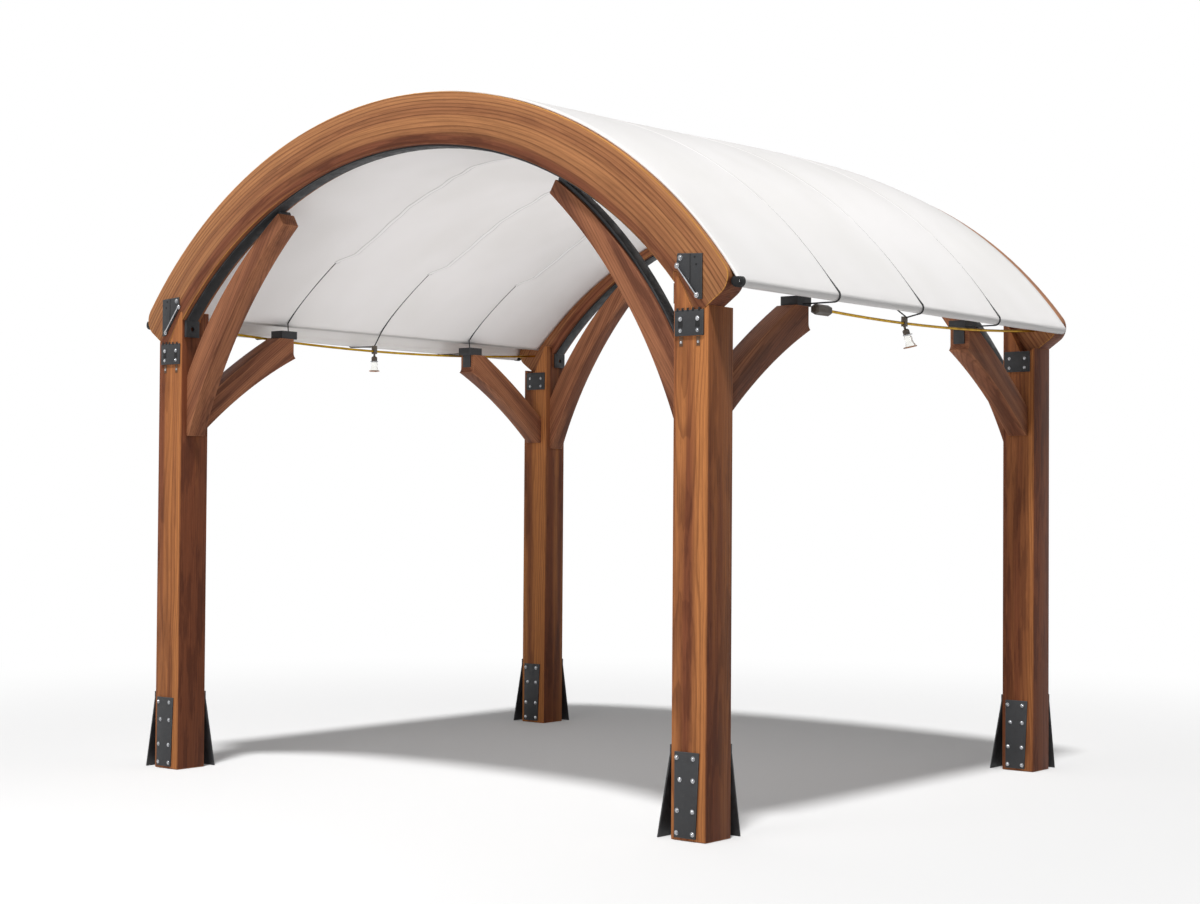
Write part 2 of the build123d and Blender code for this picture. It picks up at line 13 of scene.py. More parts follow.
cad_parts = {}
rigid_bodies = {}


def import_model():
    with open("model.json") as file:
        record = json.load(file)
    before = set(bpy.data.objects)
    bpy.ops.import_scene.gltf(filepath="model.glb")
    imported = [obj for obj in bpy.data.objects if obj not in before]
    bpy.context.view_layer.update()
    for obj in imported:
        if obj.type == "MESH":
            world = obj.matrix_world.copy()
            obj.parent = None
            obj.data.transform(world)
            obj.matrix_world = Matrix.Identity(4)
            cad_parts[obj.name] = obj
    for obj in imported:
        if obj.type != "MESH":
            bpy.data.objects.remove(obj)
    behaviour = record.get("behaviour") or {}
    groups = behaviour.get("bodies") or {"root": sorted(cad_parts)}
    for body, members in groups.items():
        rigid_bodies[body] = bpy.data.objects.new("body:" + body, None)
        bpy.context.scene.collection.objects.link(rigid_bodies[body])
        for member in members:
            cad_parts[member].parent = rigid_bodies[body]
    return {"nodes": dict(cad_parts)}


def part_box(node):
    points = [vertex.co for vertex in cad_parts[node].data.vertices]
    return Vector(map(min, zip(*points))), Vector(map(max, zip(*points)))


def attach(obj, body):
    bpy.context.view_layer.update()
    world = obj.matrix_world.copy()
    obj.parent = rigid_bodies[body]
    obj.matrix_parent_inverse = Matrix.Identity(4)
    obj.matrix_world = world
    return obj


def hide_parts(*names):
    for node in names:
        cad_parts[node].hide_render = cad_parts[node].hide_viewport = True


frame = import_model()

# Looks of a garden gazebo: oiled timber posts, arches and knee braces, black ironwork with
# zinc bolts, a white canvas vault over a lining, with rolled hems, hoop cords and stays, and
# brass rods with glass lamps.
# Metres, +Z up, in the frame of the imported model. The front arch faces -Y.

LOG = logging.getLogger("gazebo")
BODY = "root"

# Photograph's frame and its camera
IMAGE_WIDTH = 1200
FOCAL_PIXELS = 2024.0
SENSOR_WIDTH = 36.0
CAMERA_PLACE = Vector((5.602, -6.981, 1.193))
CAMERA_AZIMUTH = math.radians(39.06)
CAMERA_PITCH = math.radians(1.257)
CAMERA_ROLL = math.radians(0.391)

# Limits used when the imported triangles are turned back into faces
MERGE_GAP = 0.00002
FLAT_GAP = 0.0001
FLAT_ANGLE = math.radians(0.4)
SHARP_ANGLE = math.radians(24)
SMOOTH_ANGLE = math.radians(32)
BEVEL_STRIPS = 2

# Hoop cords from the front to the back
HOOPS = ("front", "middle", "back")

# Course of a seam on the lining: its share of the way from the crown to an edge, and how far
# it lies behind its hoop there
SEAM_COURSE = (
    (0.0, -0.07), (0.1, -0.05), (0.2, 0.005), (0.31, 0.055), (0.42, 0.075), (0.5, 0.1),
    (0.6, 0.118), (0.68, 0.112), (0.735, 0.045), (1.0, 0.032),
)

Color = tuple[float, float, float, float]
Point = tuple[float, float, float]
Profile = Sequence[tuple[float, float]]


class Hand(Enum):
    """Side of the gazebo, as seen by someone who faces the front arch."""

    LEFT = "left"
    RIGHT = "right"

    @property
    def sign(self) -> int:
        """Sign of X on this side."""
        return 1 if self is Hand.RIGHT else -1


class End(Enum):
    """Which of the two arches a piece belongs to."""

    FRONT = "front"
    BACK = "back"

    @property
    def sign(self) -> int:
        """Sign of Y at this end."""
        return 1 if self is End.BACK else -1


class Slot(Enum):
    """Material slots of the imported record."""

    TIMBER = "timber"
    STEEL = "black_steel"
    CANVAS = "canvas"
    BRASS = "brass"
    BRONZE = "bronze"
    GLASS = "lamp_glass"
    CORD = "cord"


def paint(red: int, green: int, blue: int) -> Color:
    """Linear colour of an 8-bit display colour.

    Args:
        red, green, blue: display values from 0 to 255.

    Returns:
        The linear colour, opaque.
    """

    def straighten(value: int) -> float:
        """Undo the display curve of one channel."""
        share = value / 255
        return share / 12.92 if share <= 0.04045 else ((share + 0.055) / 1.055) ** 2.4

    return (straighten(red), straighten(green), straighten(blue), 1.0)


def corners() -> Iterator[tuple[End, Hand, str]]:
    """Go round the four posts.

    Returns:
        The end, the hand and the name of each corner.
    """
    for end in End:
        for hand in Hand:
            yield end, hand, f"{end.value}_{hand.value}"


def pick_none() -> None:
    """Select nothing."""
    for other in bpy.context.view_layer.objects:
        other.select_set(False)


def pick_only(*pieces: bpy.types.Object) -> None:
    """Select these pieces alone and make the first one active.

    Args:
        pieces: the objects to select.
    """
    pick_none()
    for piece in pieces:
        piece.select_set(True)
    bpy.context.view_layer.objects.active = pieces[0]


@contextmanager
def editing(piece: bpy.types.Object, mode: str = "FACE") -> Iterator[None]:
    """Hold a piece in edit mode.

    Args:
        piece: the mesh object to edit.
        mode: what is selected, VERT, EDGE or FACE.
    """
    pick_only(piece)
    bpy.ops.object.mode_set(mode="EDIT")
    bpy.ops.mesh.select_mode(type=mode)
    yield
    bpy.ops.object.mode_set(mode="OBJECT")


def settle(piece: bpy.types.Object) -> bpy.types.Object:
    """Move a piece's place, turn and scale into its mesh.

    Args:
        piece: the mesh object.

    Returns:
        The same piece, at the origin.
    """
    pick_only(piece)
    bpy.ops.object.transform_apply(location=True, rotation=True, scale=True)
    return piece


def smooth(piece: bpy.types.Object) -> None:
    """Shade a piece smooth, but for its sharp edges.

    Args:
        piece: the mesh object.
    """
    pick_only(piece)
    bpy.ops.object.shade_smooth_by_angle(angle=SMOOTH_ANGLE)


def apply_modifier(piece: bpy.types.Object, kind: str, **settings: Any) -> None:
    """Add a modifier and apply it.

    Args:
        piece: the mesh object.
        kind: the modifier's type.
        settings: the modifier's properties.
    """
    pick_only(piece)
    modifier = piece.modifiers.new(kind.lower(), kind)
    for name, value in settings.items():
        setattr(modifier, name, value)
    bpy.ops.object.modifier_apply(modifier=modifier.name)


def join(name: str, pieces: Sequence[bpy.types.Object]) -> bpy.types.Object:
    """Join pieces into one mesh.

    Args:
        name: name of the joined piece.
        pieces: what is joined.

    Returns:
        The joined piece.
    """
    pick_only(*pieces)
    if len(pieces) > 1:
        bpy.ops.object.join()
    pieces[0].name = name
    pieces[0].data.name = name
    return pieces[0]


def hand_over(piece: bpy.types.Object, slot: Slot | None, *nodes: str) -> bpy.types.Object:
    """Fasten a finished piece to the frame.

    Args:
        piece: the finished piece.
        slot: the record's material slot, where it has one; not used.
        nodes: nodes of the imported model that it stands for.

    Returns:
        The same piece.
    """
    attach(piece, BODY)
    if nodes:
        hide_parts(*nodes)
    LOG.info("%s: %d faces, stands for %s", piece.name, len(piece.data.polygons), list(nodes))
    return piece


def box_of(piece: bpy.types.Object) -> tuple[Vector, Vector]:
    """Lowest and highest corner of a piece's mesh.

    Args:
        piece: the mesh object.

    Returns:
        The two corners.
    """
    spread = list(zip(*(vertex.co for vertex in piece.data.vertices)))
    return Vector(map(min, spread)), Vector(map(max, spread))


def places_of(node: str) -> list[Vector]:
    """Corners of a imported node's mesh.

    Args:
        node: name of the node.

    Returns:
        The corners.
    """
    return [vertex.co for vertex in frame["nodes"][node].data.vertices]


def copy_of_node(node: str, name: str) -> bpy.types.Object:
    """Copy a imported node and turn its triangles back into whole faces.

    Args:
        node: name of the node.
        name: name of the copy.

    Returns:
        The copy, with no material.
    """
    mesh = frame["nodes"][node].data.copy()
    mesh.name = name
    mesh.materials.clear()
    piece = bpy.data.objects.new(name, mesh)
    bpy.context.scene.collection.objects.link(piece)
    with editing(piece, "VERT"):
        bpy.ops.mesh.select_all(action="SELECT")
        bpy.ops.mesh.remove_doubles(threshold=MERGE_GAP)
        bpy.ops.mesh.customdata_custom_splitnormals_clear()
        bpy.ops.mesh.dissolve_limited(angle_limit=FLAT_ANGLE)
    return piece


def ease_edges(piece: bpy.types.Object, width: float) -> None:
    """Bevel every sharp edge, with the second material on the bevels.

    Args:
        piece: the mesh object.
        width: width of the bevel.
    """
    with editing(piece, "EDGE"):
        bpy.ops.mesh.select_all(action="DESELECT")
        bpy.ops.mesh.edges_select_sharp(sharpness=SHARP_ANGLE)
        bpy.ops.mesh.bevel(offset=width, segments=BEVEL_STRIPS, material=1, affect="EDGES")
    smooth(piece)


def lathe(name: str, profile: Profile, sides: int) -> bpy.types.Object:
    """Turn a closed round piece about Z, ring by ring.

    Args:
        name: name of the piece.
        profile: radius and height of each ring, from the bottom up.
        sides: corners of a ring.

    Returns:
        The piece, upright about the origin.
    """
    radius, height = profile[0]
    pick_none()
    bpy.ops.mesh.primitive_circle_add(
        vertices=sides, radius=radius, fill_type="NGON", location=(0, 0, height)
    )
    piece = bpy.context.object
    piece.name = name
    settle(piece)
    with editing(piece):
        bpy.ops.mesh.select_all(action="SELECT")
        for next_radius, next_height in profile[1:]:
            bpy.ops.mesh.extrude_region_move(
                TRANSFORM_OT_translate={"value": (0, 0, next_height - height)}
            )
            grow = next_radius / radius
            bpy.ops.transform.resize(value=(grow, grow, 1), center_override=(0, 0, next_height))
            radius, height = next_radius, next_height
        bpy.ops.mesh.select_all(action="SELECT")
        bpy.ops.mesh.normals_make_consistent(inside=False)
    smooth(piece)
    return piece


def block(name: str, low: Point, high: Point, round_off: float) -> bpy.types.Object:
    """Make a small block with rounded edges between two corners.

    Args:
        name: name of the piece.
        low: its lowest corner.
        high: its highest corner.
        round_off: radius of its edges.

    Returns:
        The block.
    """
    first, last = Vector(low), Vector(high)
    pick_none()
    bpy.ops.mesh.primitive_cube_add(size=1, location=(first + last) / 2)
    piece = bpy.context.object
    piece.name = name
    piece.scale = last - first
    settle(piece)
    with editing(piece, "EDGE"):
        bpy.ops.mesh.select_all(action="SELECT")
        bpy.ops.mesh.bevel(offset=round_off, segments=BEVEL_STRIPS, affect="EDGES")
    smooth(piece)
    return piece


def tube(name: str, points: Sequence[Vector], radius: float, sides: int = 4) -> bpy.types.Object:
    """Make a round line along points as a mesh.

    Args:
        name: name of the piece.
        points: the points of its axis.
        radius: half its thickness.
        sides: roundness of the section, as a curve's bevel resolution.

    Returns:
        The tube.
    """
    curve = bpy.data.curves.new(name, "CURVE")
    curve.dimensions = "3D"
    curve.bevel_depth = radius
    curve.bevel_resolution = sides
    curve.use_fill_caps = True
    spline = curve.splines.new("POLY")
    spline.points.add(len(points) - 1)
    for target, point in zip(spline.points, points):
        target.co = (*point, 1.0)
    piece = bpy.data.objects.new(name, curve)
    bpy.context.scene.collection.objects.link(piece)
    pick_only(piece)
    bpy.ops.object.convert(target="MESH")
    piece = bpy.context.object
    smooth(piece)
    return piece


def stamp(template: bpy.types.Object, name: str, places: Sequence[Matrix]) -> bpy.types.Object:
    """Copy a small piece to many places and join the copies.

    Args:
        template: the piece that is copied, then removed.
        name: name of the joined piece.
        places: where each copy goes.

    Returns:
        The joined copies.
    """
    copies = []
    for place in places:
        copy = bpy.data.objects.new(name, template.data.copy())
        copy.data.transform(place)
        bpy.context.scene.collection.objects.link(copy)
        copies.append(copy)
    bpy.data.objects.remove(template)
    return join(name, copies)


def facing(place: Vector, outward: Vector) -> Matrix:
    """Matrix that stands an upright piece on a face.

    Args:
        place: point on the face.
        outward: the face's normal.

    Returns:
        The matrix.
    """
    return Matrix.Translation(place) @ outward.to_track_quat("Z", "Y").to_matrix().to_4x4()


@dataclass(frozen=True)
class Layout:
    """Main lines of the gazebo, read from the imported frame."""

    axis_y: float
    vault_y: float
    arch_center_z: float
    arch_radius: float
    soffit_radius: float
    cloth_top_z: float
    crowns: dict[float, float]
    hem_radius: float
    hem_x: float
    hem_z: float

    @classmethod
    def from_frame(cls) -> "Layout":
        """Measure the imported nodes.

        Returns:
            The measured layout.
        """
        low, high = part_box("canopy")
        edge = [place for place in places_of("canopy") if abs(place.y - low.y) < FLAT_GAP]
        top = max(edge, key=lambda place: place.z)
        side = max(edge, key=lambda place: place.x)
        center_z = (side.x**2 + side.z**2 - top.x**2 - top.z**2) / (2 * (side.z - top.z))
        cloth_top_z = center_z + math.hypot(top.x, top.z - center_z)
        hem_low, hem_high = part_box("right_hem")
        crowns = {low.y: 0.0, high.y: 0.0}
        for name in HOOPS:
            over = places_of(f"{name}_hoop_cord")
            ridge = [place for place in over if place.z > (hem_high.z + cloth_top_z) / 2]
            first, last = min(place.y for place in ridge), max(place.y for place in ridge)
            crowns[(first + last) / 2] = max(place.z for place in ridge) - (last - first) - cloth_top_z
        return cls(
            axis_y=(low.y + high.y) / 2,
            vault_y=(high.y - low.y) / 2,
            arch_center_z=center_z,
            arch_radius=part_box("front_arch")[1].z - center_z,
            soffit_radius=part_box("front_soffit_bar")[1].z - center_z,
            cloth_top_z=cloth_top_z,
            crowns=dict(sorted(crowns.items())),
            hem_radius=(hem_high.x - hem_low.x) / 2,
            hem_x=(hem_low.x + hem_high.x) / 2,
            hem_z=(hem_low.z + hem_high.z) / 2,
        )

    @property
    def arch_middle_radius(self) -> float:
        """Radius of the line half way through an arch's depth."""
        return (self.arch_radius + self.soffit_radius) / 2

    @property
    def hoops(self) -> list[float]:
        """Places of the hoop cords along the vault."""
        return list(self.crowns)[1:-1]

    def crown_at(self, y: float) -> float:
        """Swell of the cloth's crown, a smooth curve through its ends and hoops.

        Args:
            y: place along the vault.

        Returns:
            The swell over the end arcs.
        """
        total = 0.0
        for place, crown in self.crowns.items():
            for other in self.crowns:
                if other != place:
                    crown *= (y - other) / (place - other)
            total += crown
        return total

    def cloth_arc(self, y: float) -> tuple[float, float, float]:
        """Arc of the cloth's outer face across the vault.

        Args:
            y: place along the vault.

        Returns:
            The arc's centre height, its radius, and the angle from its crown to a hem's axis.
        """
        top = self.cloth_top_z + self.crown_at(y) - self.hem_radius
        center = (top**2 - self.hem_x**2 - self.hem_z**2) / (2 * (top - self.hem_z))
        return center, top + self.hem_radius - center, math.atan2(self.hem_x, self.hem_z - center)


class Graph:
    """Adds and wires shader nodes in one node tree."""

    def __init__(self, tree: bpy.types.NodeTree) -> None:
        """Keep the tree that is wired.

        Args:
            tree: a material's or a group's node tree.
        """
        self.tree = tree

    def node(self, kind: str, **settings: Any) -> bpy.types.Node:
        """Add a node.

        Args:
            kind: the node's type.
            settings: its properties.

        Returns:
            The node.
        """
        made = self.tree.nodes.new(kind)
        for name, value in settings.items():
            setattr(made, name, value)
        return made

    def feed(self, socket: bpy.types.NodeSocket, value: Any) -> None:
        """Link a socket to another one, or set its own value.

        Args:
            socket: the input.
            value: an output socket, or a plain value.
        """
        if isinstance(value, bpy.types.NodeSocket):
            self.tree.links.new(value, socket)
        else:
            socket.default_value = value

    def math(self, operation: str, first: Any, second: Any = 0.0) -> bpy.types.NodeSocket:
        """Do one sum on values.

        Args:
            operation: the Math node's operation.
            first, second: its inputs.

        Returns:
            The result.
        """
        made = self.node("ShaderNodeMath", operation=operation)
        self.feed(made.inputs[0], first)
        self.feed(made.inputs[1], second)
        return made.outputs[0]

    def vector(self, operation: str, first: Any, second: Any = (0, 0, 0)) -> bpy.types.NodeSocket:
        """Do one sum on vectors.

        Args:
            operation: the Vector Math node's operation.
            first, second: its inputs.

        Returns:
            The result, a value for LENGTH and DOT_PRODUCT and a vector otherwise.
        """
        made = self.node("ShaderNodeVectorMath", operation=operation)
        self.feed(made.inputs[0], first)
        self.feed(made.inputs[1], second)
        return made.outputs["Value" if operation in ("LENGTH", "DOT_PRODUCT") else "Vector"]

    def noise(
        self, place: Any, stretch: Point, detail: float, rough: float = 0.5, output: str = "Fac"
    ) -> bpy.types.NodeSocket:
        """Noise with its own scale along each axis.

        Args:
            place: the coordinates, in metres.
            stretch: how often it repeats in a metre, along each axis.
            detail: how many finer layers it has.
            rough: how strong those are.
            output: Fac or Color.

        Returns:
            The noise.
        """
        made = self.node("ShaderNodeTexNoise")
        self.feed(made.inputs["Vector"], self.vector("MULTIPLY", place, stretch))
        made.inputs["Scale"].default_value = 1.0
        made.inputs["Detail"].default_value = detail
        made.inputs["Roughness"].default_value = rough
        return made.outputs[output]

    def ease(
        self, value: Any, start: float, stop: float, low: float = 0.0, high: float = 1.0
    ) -> bpy.types.NodeSocket:
        """Smooth step from one level to another.

        Args:
            value: what is stepped.
            start, stop: where the step begins and ends.
            low, high: its two levels.

        Returns:
            The step.
        """
        made = self.node("ShaderNodeMapRange", interpolation_type="SMOOTHSTEP")
        for socket, given in zip(made.inputs, (value, start, stop, low, high)):
            self.feed(socket, given)
        return made.outputs["Result"]

    def mix(self, share: Any, first: Any, second: Any, blend: str = "MIX") -> bpy.types.NodeSocket:
        """Mix two colours.

        Args:
            share: how much of the second.
            first, second: the colours.
            blend: how they mix.

        Returns:
            The mixed colour.
        """
        made = self.node("ShaderNodeMix", data_type="RGBA", blend_type=blend)
        color_inputs = [socket for socket in made.inputs if socket.type == "RGBA"]
        self.feed(made.inputs[0], share)
        self.feed(color_inputs[0], first)
        self.feed(color_inputs[1], second)
        return next(socket for socket in made.outputs if socket.type == "RGBA")

    def apart(self, value: Any) -> list[bpy.types.NodeSocket]:
        """Split a vector into its three values.

        Args:
            value: the vector.

        Returns:
            Its X, Y and Z.
        """
        made = self.node("ShaderNodeSeparateXYZ")
        self.feed(made.inputs[0], value)
        return list(made.outputs)

    def together(self, x: Any, y: Any, z: Any) -> bpy.types.NodeSocket:
        """Make a vector of three values.

        Args:
            x, y, z: the values.

        Returns:
            The vector.
        """
        made = self.node("ShaderNodeCombineXYZ")
        for socket, value in zip(made.inputs, (x, y, z)):
            self.feed(socket, value)
        return made.outputs[0]

    def bump(
        self, height: Any, distance: float, strength: float, under: bpy.types.NodeSocket | None = None
    ) -> bpy.types.NodeSocket:
        """Turn a height into a normal.

        Args:
            height: the height, from 0 to 1.
            distance: how far 1 stands out, in metres.
            strength: how strong the bump is.
            under: the normal that it is laid over, where there is one.

        Returns:
            The normal.
        """
        made = self.node("ShaderNodeBump")
        made.inputs["Distance"].default_value = distance
        made.inputs["Strength"].default_value = strength
        self.feed(made.inputs["Height"], height)
        if under is not None:
            self.feed(made.inputs["Normal"], under)
        return made.outputs["Normal"]


class Effects:
    """Shader node groups that several finishes share, each built once."""

    def __init__(self) -> None:
        """Build the groups."""
        self.grain = self._grain()
        self.mottle = self._mottle()
        self.weave = self._weave()

    @staticmethod
    def _open(
        name: str, inputs: dict[str, str], outputs: dict[str, str]
    ) -> tuple[bpy.types.NodeTree, Graph, Any, Any]:
        """Start a group with named sockets.

        Args:
            name: the group's name.
            inputs: socket type of each input.
            outputs: socket type of each output.

        Returns:
            The group, its graph, its inputs and its outputs.
        """
        tree = bpy.data.node_groups.new(name, "ShaderNodeTree")
        for label, kind in inputs.items():
            tree.interface.new_socket(label, in_out="INPUT", socket_type=f"NodeSocket{kind}")
        for label, kind in outputs.items():
            tree.interface.new_socket(label, in_out="OUTPUT", socket_type=f"NodeSocket{kind}")
        graph = Graph(tree)
        return tree, graph, graph.node("NodeGroupInput").outputs, graph.node("NodeGroupOutput").inputs

    def _grain(self) -> bpy.types.NodeTree:
        """Timber cut from a log: growth rings about a pith, heartwood, fibres and pores.

        Returns:
            The group. Its vector runs along, across and through the timber, in metres.
        """
        tree, graph, given, put = self._open(
            "timber_grain",
            {"Vector": "Vector", "Pith": "Vector", "Pitch": "Float", "Heart": "Float", "Late": "Float",
             "Sapwood": "Color", "Heartwood": "Color", "Latewood": "Color"},
            {"Color": "Color", "Roughness": "Float", "Height": "Float"},
        )
        place = given["Vector"]
        drift = graph.noise(place, (0.7, 4.0, 4.0), 2.0, 0.5, "Color")
        drift = graph.vector("SUBTRACT", drift, (0.5, 0.5, 0.5))
        drift = graph.vector("MULTIPLY", drift, (0, 0.06, 0.06))
        ripple = graph.noise(place, (3.5, 30, 30), 2.0, 0.5, "Color")
        ripple = graph.vector("SUBTRACT", ripple, (0.5, 0.5, 0.5))
        ripple = graph.vector("MULTIPLY", ripple, (0, 0.005, 0.005))
        bent = graph.vector("ADD", graph.vector("ADD", place, drift), ripple)
        bent = graph.vector("SUBTRACT", bent, given["Pith"])
        distance = graph.vector("LENGTH", graph.vector("MULTIPLY", bent, (0, 1, 1)))
        phase = graph.math("DIVIDE", distance, given["Pitch"])
        ring = graph.math("FRACT", phase)
        rise = graph.ease(ring, 0.45, 0.9)
        fall = graph.ease(ring, 0.94, 1.0, 1.0, 0.0)
        each = graph.node("ShaderNodeTexWhiteNoise", noise_dimensions="1D")
        graph.feed(each.inputs["W"], graph.math("FLOOR", phase))
        late = graph.math("MULTIPLY", graph.math("MULTIPLY", rise, fall),
                          graph.ease(each.outputs["Value"], 0.0, 1.0, 0.4, 1.0))
        tone = graph.ease(graph.noise(place, (0.5, 15, 15), 2.0), 0.36, 0.66, -0.35, 0.35)
        heart = graph.math("ADD", given["Heart"], tone)
        heart = graph.ease(heart, 0.0, 1.0)
        fibre = graph.noise(place, (5, 210, 210), 3.0, 0.65)
        pore = graph.ease(graph.noise(place, (26, 640, 640), 2.0), 0.60, 0.74)
        color = graph.mix(heart, given["Sapwood"], given["Heartwood"])
        curl = graph.ease(graph.noise(bent, (3.2, 24, 24), 4.0, 0.62), 0.49, 0.6)
        figure = graph.math("MULTIPLY", graph.math("MULTIPLY", curl, heart), 0.62)
        color = graph.mix(figure, color, given["Latewood"])
        color = graph.mix(graph.math("MULTIPLY", late, given["Late"]), color, given["Latewood"])
        shade = graph.ease(fibre, 0.22, 0.78, 0.78, 1.2)
        color = graph.mix(1.0, color, graph.together(shade, shade, shade), "MULTIPLY")
        color = graph.mix(graph.math("MULTIPLY", pore, 0.3), color, given["Latewood"])
        graph.feed(put["Color"], color)
        rough = graph.math("ADD", graph.math("MULTIPLY", fibre, 0.22), 0.42)
        graph.feed(put["Roughness"], graph.math("ADD", rough, graph.math("MULTIPLY", late, 0.08)))
        height = graph.math("SUBTRACT", graph.math("MULTIPLY", fibre, 0.6),
                            graph.math("MULTIPLY", late, 0.35))
        graph.feed(put["Height"], graph.math("SUBTRACT", height, graph.math("MULTIPLY", pore, 0.5)))
        return tree

    def _mottle(self) -> bpy.types.NodeTree:
        """Uneven coat on metal: cloudy tone, fine orange peel and scattered dust.

        Returns:
            The group. Its cloud and dust run from 0 to 1.
        """
        tree, graph, given, put = self._open(
            "mottled_coat",
            {"Vector": "Vector"},
            {"Cloud": "Float", "Peel": "Float", "Dust": "Float"},
        )
        place = given["Vector"]
        graph.feed(put["Cloud"], graph.ease(graph.noise(place, (28, 28, 28), 4.0, 0.6), 0.3, 0.7))
        graph.feed(put["Peel"], graph.noise(place, (420, 420, 420), 2.0))
        speck = graph.noise(place, (150, 150, 150), 3.0, 0.7)
        graph.feed(put["Dust"], graph.ease(speck, 0.56, 0.74))
        return tree

    def _weave(self) -> bpy.types.NodeTree:
        """Plain weave of a coated canvas, with soft creases.

        Returns:
            The group. Its vector is the cloth's own map, in metres.
        """
        tree, graph, given, put = self._open(
            "canvas_weave",
            {"Vector": "Vector"},
            {"Thread": "Float", "Crease": "Float", "Cloud": "Float"},
        )
        place = given["Vector"]
        thread_pitch = 0.0016
        x, y, _ = graph.apart(place)
        waves = []
        for side in (x, y):
            turn = graph.math("MULTIPLY", side, math.tau / thread_pitch)
            waves.append(graph.math("SINE", turn))
        graph.feed(put["Thread"], graph.math("ABSOLUTE", graph.math("MULTIPLY", *waves)))
        graph.feed(put["Crease"], graph.noise(place, (5.5, 2.4, 1), 3.0, 0.55))
        graph.feed(put["Cloud"], graph.noise(place, (1.6, 2.2, 1), 2.0))
        return tree


class Finish:
    """Base of every finish: makes a material with a Principled shader."""

    def start(self, name: str) -> tuple[bpy.types.Material, Graph, bpy.types.Node]:
        """Open a new material.

        Args:
            name: the material's name.

        Returns:
            The material, its graph and its shader.
        """
        material = bpy.data.materials.new(name)
        material.use_nodes = True
        graph = Graph(material.node_tree)
        return material, graph, material.node_tree.nodes["Principled BSDF"]

    @staticmethod
    def effect(graph: Graph, group: bpy.types.NodeTree, **inputs: Any) -> bpy.types.Node:
        """Place a shared effect in a material.

        Args:
            graph: the material's graph.
            group: the effect.
            inputs: its inputs, by name.

        Returns:
            The group node.
        """
        made = graph.node("ShaderNodeGroup", node_tree=group)
        for name, value in inputs.items():
            graph.feed(made.inputs[name], value)
        return made

    @staticmethod
    def object_place(graph: Graph) -> bpy.types.NodeSocket:
        """Coordinates of the piece's own space, in metres."""
        return graph.node("ShaderNodeTexCoord").outputs["Object"]


@dataclass(frozen=True)
class TimberFinish(Finish):
    """Oiled timber, straight or bent round an arch.

    A post's half width in face darkens its side faces to heartwood colour, as painted shade, and gives a pale
    strip beside one arris.
    """

    name: str
    sapwood: Color
    heartwood: Color
    latewood: Color
    pith: Point
    heart: float
    pitch: float = 0.0125
    late: float = 0.6
    bent_radius: float | None = None
    face: float | None = None

    def build(self, effects: Effects) -> bpy.types.Material:
        """Make the material.

        Args:
            effects: the shared node groups.

        Returns:
            The material. It reads the piece's grain and heart attributes.
        """
        material, graph, shader = self.start(self.name)
        place = graph.node("ShaderNodeAttribute", attribute_name="grain").outputs["Vector"]
        own = graph.node("ShaderNodeAttribute", attribute_name="heart").outputs["Fac"]
        heart = graph.math("ADD", own, self.heart)
        if self.bent_radius is not None:
            heart = graph.math("ADD", heart, graph.ease(self._end_grain(graph, place), 0.35, 0.8, 0.0, 0.9))
            place, across = self._bend(graph, place, self.bent_radius)
            # Painted light and shade: paler towards the arch's outer edge and darker towards its inner edge,
            # under the cloth.
            heart = graph.math("ADD", heart, graph.ease(across, 0.02, -0.09, -0.35, 0.5))
        if self.face is not None:
            across = graph.apart(place)[1]
            strip = graph.ease(across, -0.1 * self.face, 0.55 * self.face, 0.12, -0.6)
            # Painted shade: both side faces of a post are pushed fully to the heartwood colour.
            side = graph.math("ABSOLUTE", across)
            side = graph.ease(side, self.face - 0.0009, self.face - 0.0003, 0.0, 1.0)
            heart = graph.math("ADD", graph.math("ADD", heart, strip), side)
        grain = self.effect(
            graph, effects.grain, Vector=place, Pith=self.pith, Pitch=self.pitch, Heart=heart,
            Late=self.late, Sapwood=self.sapwood, Heartwood=self.heartwood, Latewood=self.latewood,
        )
        graph.feed(shader.inputs["Base Color"], grain.outputs["Color"])
        graph.feed(shader.inputs["Roughness"], grain.outputs["Roughness"])
        graph.feed(shader.inputs["Normal"], graph.bump(grain.outputs["Height"], 0.0012, 0.55))
        shader.inputs["Specular IOR Level"].default_value = 0.14
        return material

    @staticmethod
    def _end_grain(graph: Graph, place: bpy.types.NodeSocket) -> bpy.types.NodeSocket:
        """Say how squarely an arch's grain meets a face.

        Args:
            graph: the material's graph.
            place: offsets in X, Y and Z from the arch's centre.

        Returns:
            1 where the grain ends in the face and 0 where it runs along it.
        """
        x, _, z = graph.apart(place)
        along = graph.vector("NORMALIZE", graph.together(z, 0.0, graph.math("MULTIPLY", x, -1.0)))
        face = graph.node("ShaderNodeNewGeometry").outputs["Normal"]
        return graph.math("ABSOLUTE", graph.vector("DOT_PRODUCT", face, along))

    @staticmethod
    def _bend(
        graph: Graph, place: bpy.types.NodeSocket, middle_radius: float
    ) -> tuple[bpy.types.NodeSocket, bpy.types.NodeSocket]:
        """Wrap the grain round the arch.

        Args:
            graph: the material's graph.
            place: offsets in X, Y and Z from the arch's centre.
            middle_radius: radius of the arch's middle line.

        Returns:
            The wrapped coordinates and the height above the arch's middle line.
        """
        x, y, z = graph.apart(place)
        along = graph.math("MULTIPLY", graph.math("ARCTAN2", x, z), middle_radius)
        radius = graph.vector("LENGTH", graph.together(x, 0.0, z))
        across = graph.math("SUBTRACT", radius, middle_radius)
        return graph.together(along, across, y), across


